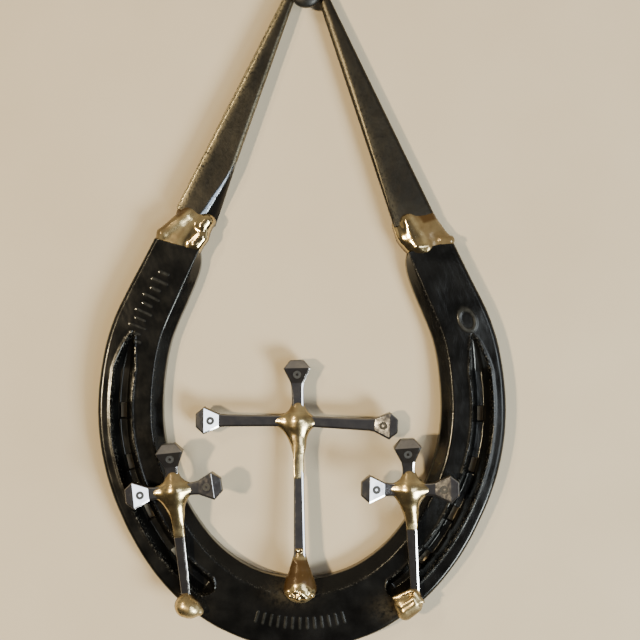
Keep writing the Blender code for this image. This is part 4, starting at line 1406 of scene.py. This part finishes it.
def screw_ring(y, radius, thread=0.0, turn=0.0):
    """A round section, with a thread of this height on it where it has come this far round."""
    ring = []
    for i in range(SCREW_SIDES):
        share = i / SCREW_SIDES
        rise = 1.0 - abs(2.0 * ((turn - share) % 1.0) - 1.0)
        reach = radius + thread * np.clip(rise * 1.6 - 0.5, 0.0, 1.0)
        angle = 2.0 * math.pi * share
        ring.append((reach * math.cos(angle), y, reach * math.sin(angle)))
    return ring


def build_screw():
    low, high = box_mm("hanging_screw")
    head_radius = (high[0] - low[0]) / 2.0
    front = low[1]
    seat = front + SCREW_HEAD_HEIGHT
    rings = []
    for share in np.sin(np.linspace(0.08, math.pi / 2.0, 14)):
        fall = SCREW_DOME_HEIGHT * (1.0 - math.sqrt(1.0 - share**2)) ** 0.9
        rings.append(screw_ring(front + fall, head_radius * share))
    for y, radius in ((-0.35, head_radius), (-0.1, head_radius - 0.08), (0.0, head_radius - 0.3)):
        rings.append(screw_ring(seat + y, radius))
    rings.append(screw_ring(seat, SCREW_SHANK_RADIUS + 0.15))
    rings.append(screw_ring(seat + 0.25, SCREW_SHANK_RADIUS))
    rings.append(screw_ring(THREAD_START_Y, SCREW_SHANK_RADIUS))
    for step in range(THREAD_TURNS * THREAD_STEPS + 1):
        left = THREAD_TURNS - step / THREAD_STEPS
        size = 0.1 + 0.9 * min(1.0, left / THREAD_POINT_TURNS)
        y = high[1] - THREAD_PITCH * left
        rings.append(screw_ring(y, THREAD_CORE_RADIUS * size, THREAD_HEIGHT * size, step / THREAD_STEPS))
    points, faces = loft(rings)
    piece = make_piece("screw", points, faces, MATERIALS["screw"])
    cut(piece, recess_cutter(front))
    piece.data.set_sharp_from_angle(angle=math.radians(SCREW_SHARP_ANGLE))
    settle(piece, "hanging_screw")


def recess_cutter(front):
    """A cross recess, narrowing towards its bottom."""
    outline = []
    half = RECESS_HALF_WIDTH
    for quarter in range(4):
        angle = math.pi / 2.0 * quarter
        cos, sin = math.cos(angle), math.sin(angle)
        for u, v in ((half, half), (RECESS_REACH, half), (RECESS_REACH, -half)):
            outline.append((u * cos + v * sin, u * sin - v * cos))
    rings = [[(a * size, front + depth, b * size) for a, b in outline] for depth, size in RECESS_ENDS]
    return make_piece("recess_cutter", *loft(rings), MATERIALS["screw"])


# --- room


def build_wall():
    half = WALL_SIZE / 2.0
    y = WALL_GAP
    points = [(-half, y, -half), (half, y, -half), (half, y, half), (-half, y, half)]
    mesh = bpy.data.meshes.new("wall")
    mesh.from_pydata([Vector(p) * MM for p in points], [], [(0, 1, 2, 3)])
    mesh.materials.append(wall_material())
    wall = bpy.data.objects.new("wall", mesh)
    bpy.context.collection.objects.link(wall)
    wall.visible_shadow = False


def scene_middle():
    low, high = cad_box
    middle = (low + high) / 2.0 / MM
    return Vector((middle.x + VIEW_OFFSET[0], VIEW_PLANE_Y, middle.z + VIEW_OFFSET[1]))


def aim(obj, place, target, roll=0.0):
    """Puts an object at a place and turns it to look at a target."""
    way = (target - place).normalized()
    turn = way.to_track_quat("-Z", "Y").to_matrix().to_4x4()
    obj.matrix_world = Matrix.Translation(place * MM) @ turn @ Matrix.Rotation(roll, 4, "Z")


def add_light(name, colour, power, size, azimuth, elevation, distance):
    """A soft light, this far from the object and turned to it."""
    light = bpy.data.lights.new(name, "AREA")
    light.shape = "RECTANGLE"
    light.size = size[0] * MM
    light.size_y = size[1] * MM
    light.color = colour
    light.energy = power
    obj = bpy.data.objects.new(name, light)
    bpy.context.collection.objects.link(obj)
    azimuth = math.radians(azimuth)
    elevation = math.radians(elevation)
    ahead = math.cos(elevation)
    way = Vector((math.sin(azimuth) * ahead, -math.cos(azimuth) * ahead, math.sin(elevation)))
    middle = scene_middle()
    aim(obj, middle + way * distance, middle)
    return obj


def build_lights():
    lights = {name: add_light(name, *settings) for name, settings in LIGHTS.items()}
    lights["rear_fill"].visible_glossy = False


def build_world():
    """A dim room for reflections, and a pale background behind the object."""
    world = bpy.data.worlds.new("room")
    room = Tree(world)
    way = room.node("TexCoord", {}).outputs["Generated"]
    height = room.node("SeparateXYZ", {0: way}).outputs["Z"]
    rise = room.node("MapRange", {"Value": height, "From Min": -0.5, "From Max": 0.7}).outputs[0]
    shade = room.node("ValToRGB", {0: rise})
    ramp = shade.color_ramp.elements
    ramp[0].color = (0.06, 0.053, 0.043, 1.0)
    ramp[1].color = (0.4, 0.35, 0.26, 1.0)
    ramp.new(0.45).color = (0.125, 0.12, 0.115, 1.0)
    seen = room.node("LightPath", {})
    scattered = seen.outputs["Is Diffuse Ray"]
    dim = room.node("MapRange", {"Value": scattered, "To Min": 1.0, "To Max": 0.15}).outputs[0]
    dark = room.tree.nodes["Background"]
    room.tree.links.new(shade.outputs[0], dark.inputs["Color"])
    room.tree.links.new(dim, dark.inputs["Strength"])
    pale = room.node("Background", {"Color": (0.95, 0.8, 0.58, 1.0)}).outputs[0]
    inputs = {0: seen.outputs["Is Camera Ray"], 1: dark.outputs[0], 2: pale}
    mixed = room.node("MixShader", inputs).outputs[0]
    room.tree.links.new(mixed, room.tree.nodes["World Output"].inputs["Surface"])
    bpy.context.scene.world = world


def build_camera():
    data = bpy.data.cameras.new("camera")
    data.sensor_width = SENSOR
    data.lens = SENSOR * CAMERA_DISTANCE / FRAME_WIDTH
    data.clip_start = 0.01
    camera = bpy.data.objects.new("camera", data)
    bpy.context.collection.objects.link(camera)
    middle = scene_middle()
    aim(camera, middle + Vector((0.0, -CAMERA_DISTANCE, 0.0)), middle, VIEW_ROLL)
    bpy.context.scene.camera = camera


build_camera()
build_world()
build_lights()
build_wall()
shoe = Shoe()
build_shoe(shoe)
for side in ("left", "right"):
    build_arm(side)
    build_heel_braze(shoe, side)
    build_small_foot(side)
build_apex_braze()
build_hub("centre", ("top", "left", "right", "foot"))
build_hub("left", ("upright", "left", "right"))
build_hub("right", ("upright", "left", "right"))
build_centre_foot()
for node in sorted(frame["nodes"]):
    if node.endswith("_nail"):
        build_nail(node)
build_screw()

bpy.context.view_layer.update()
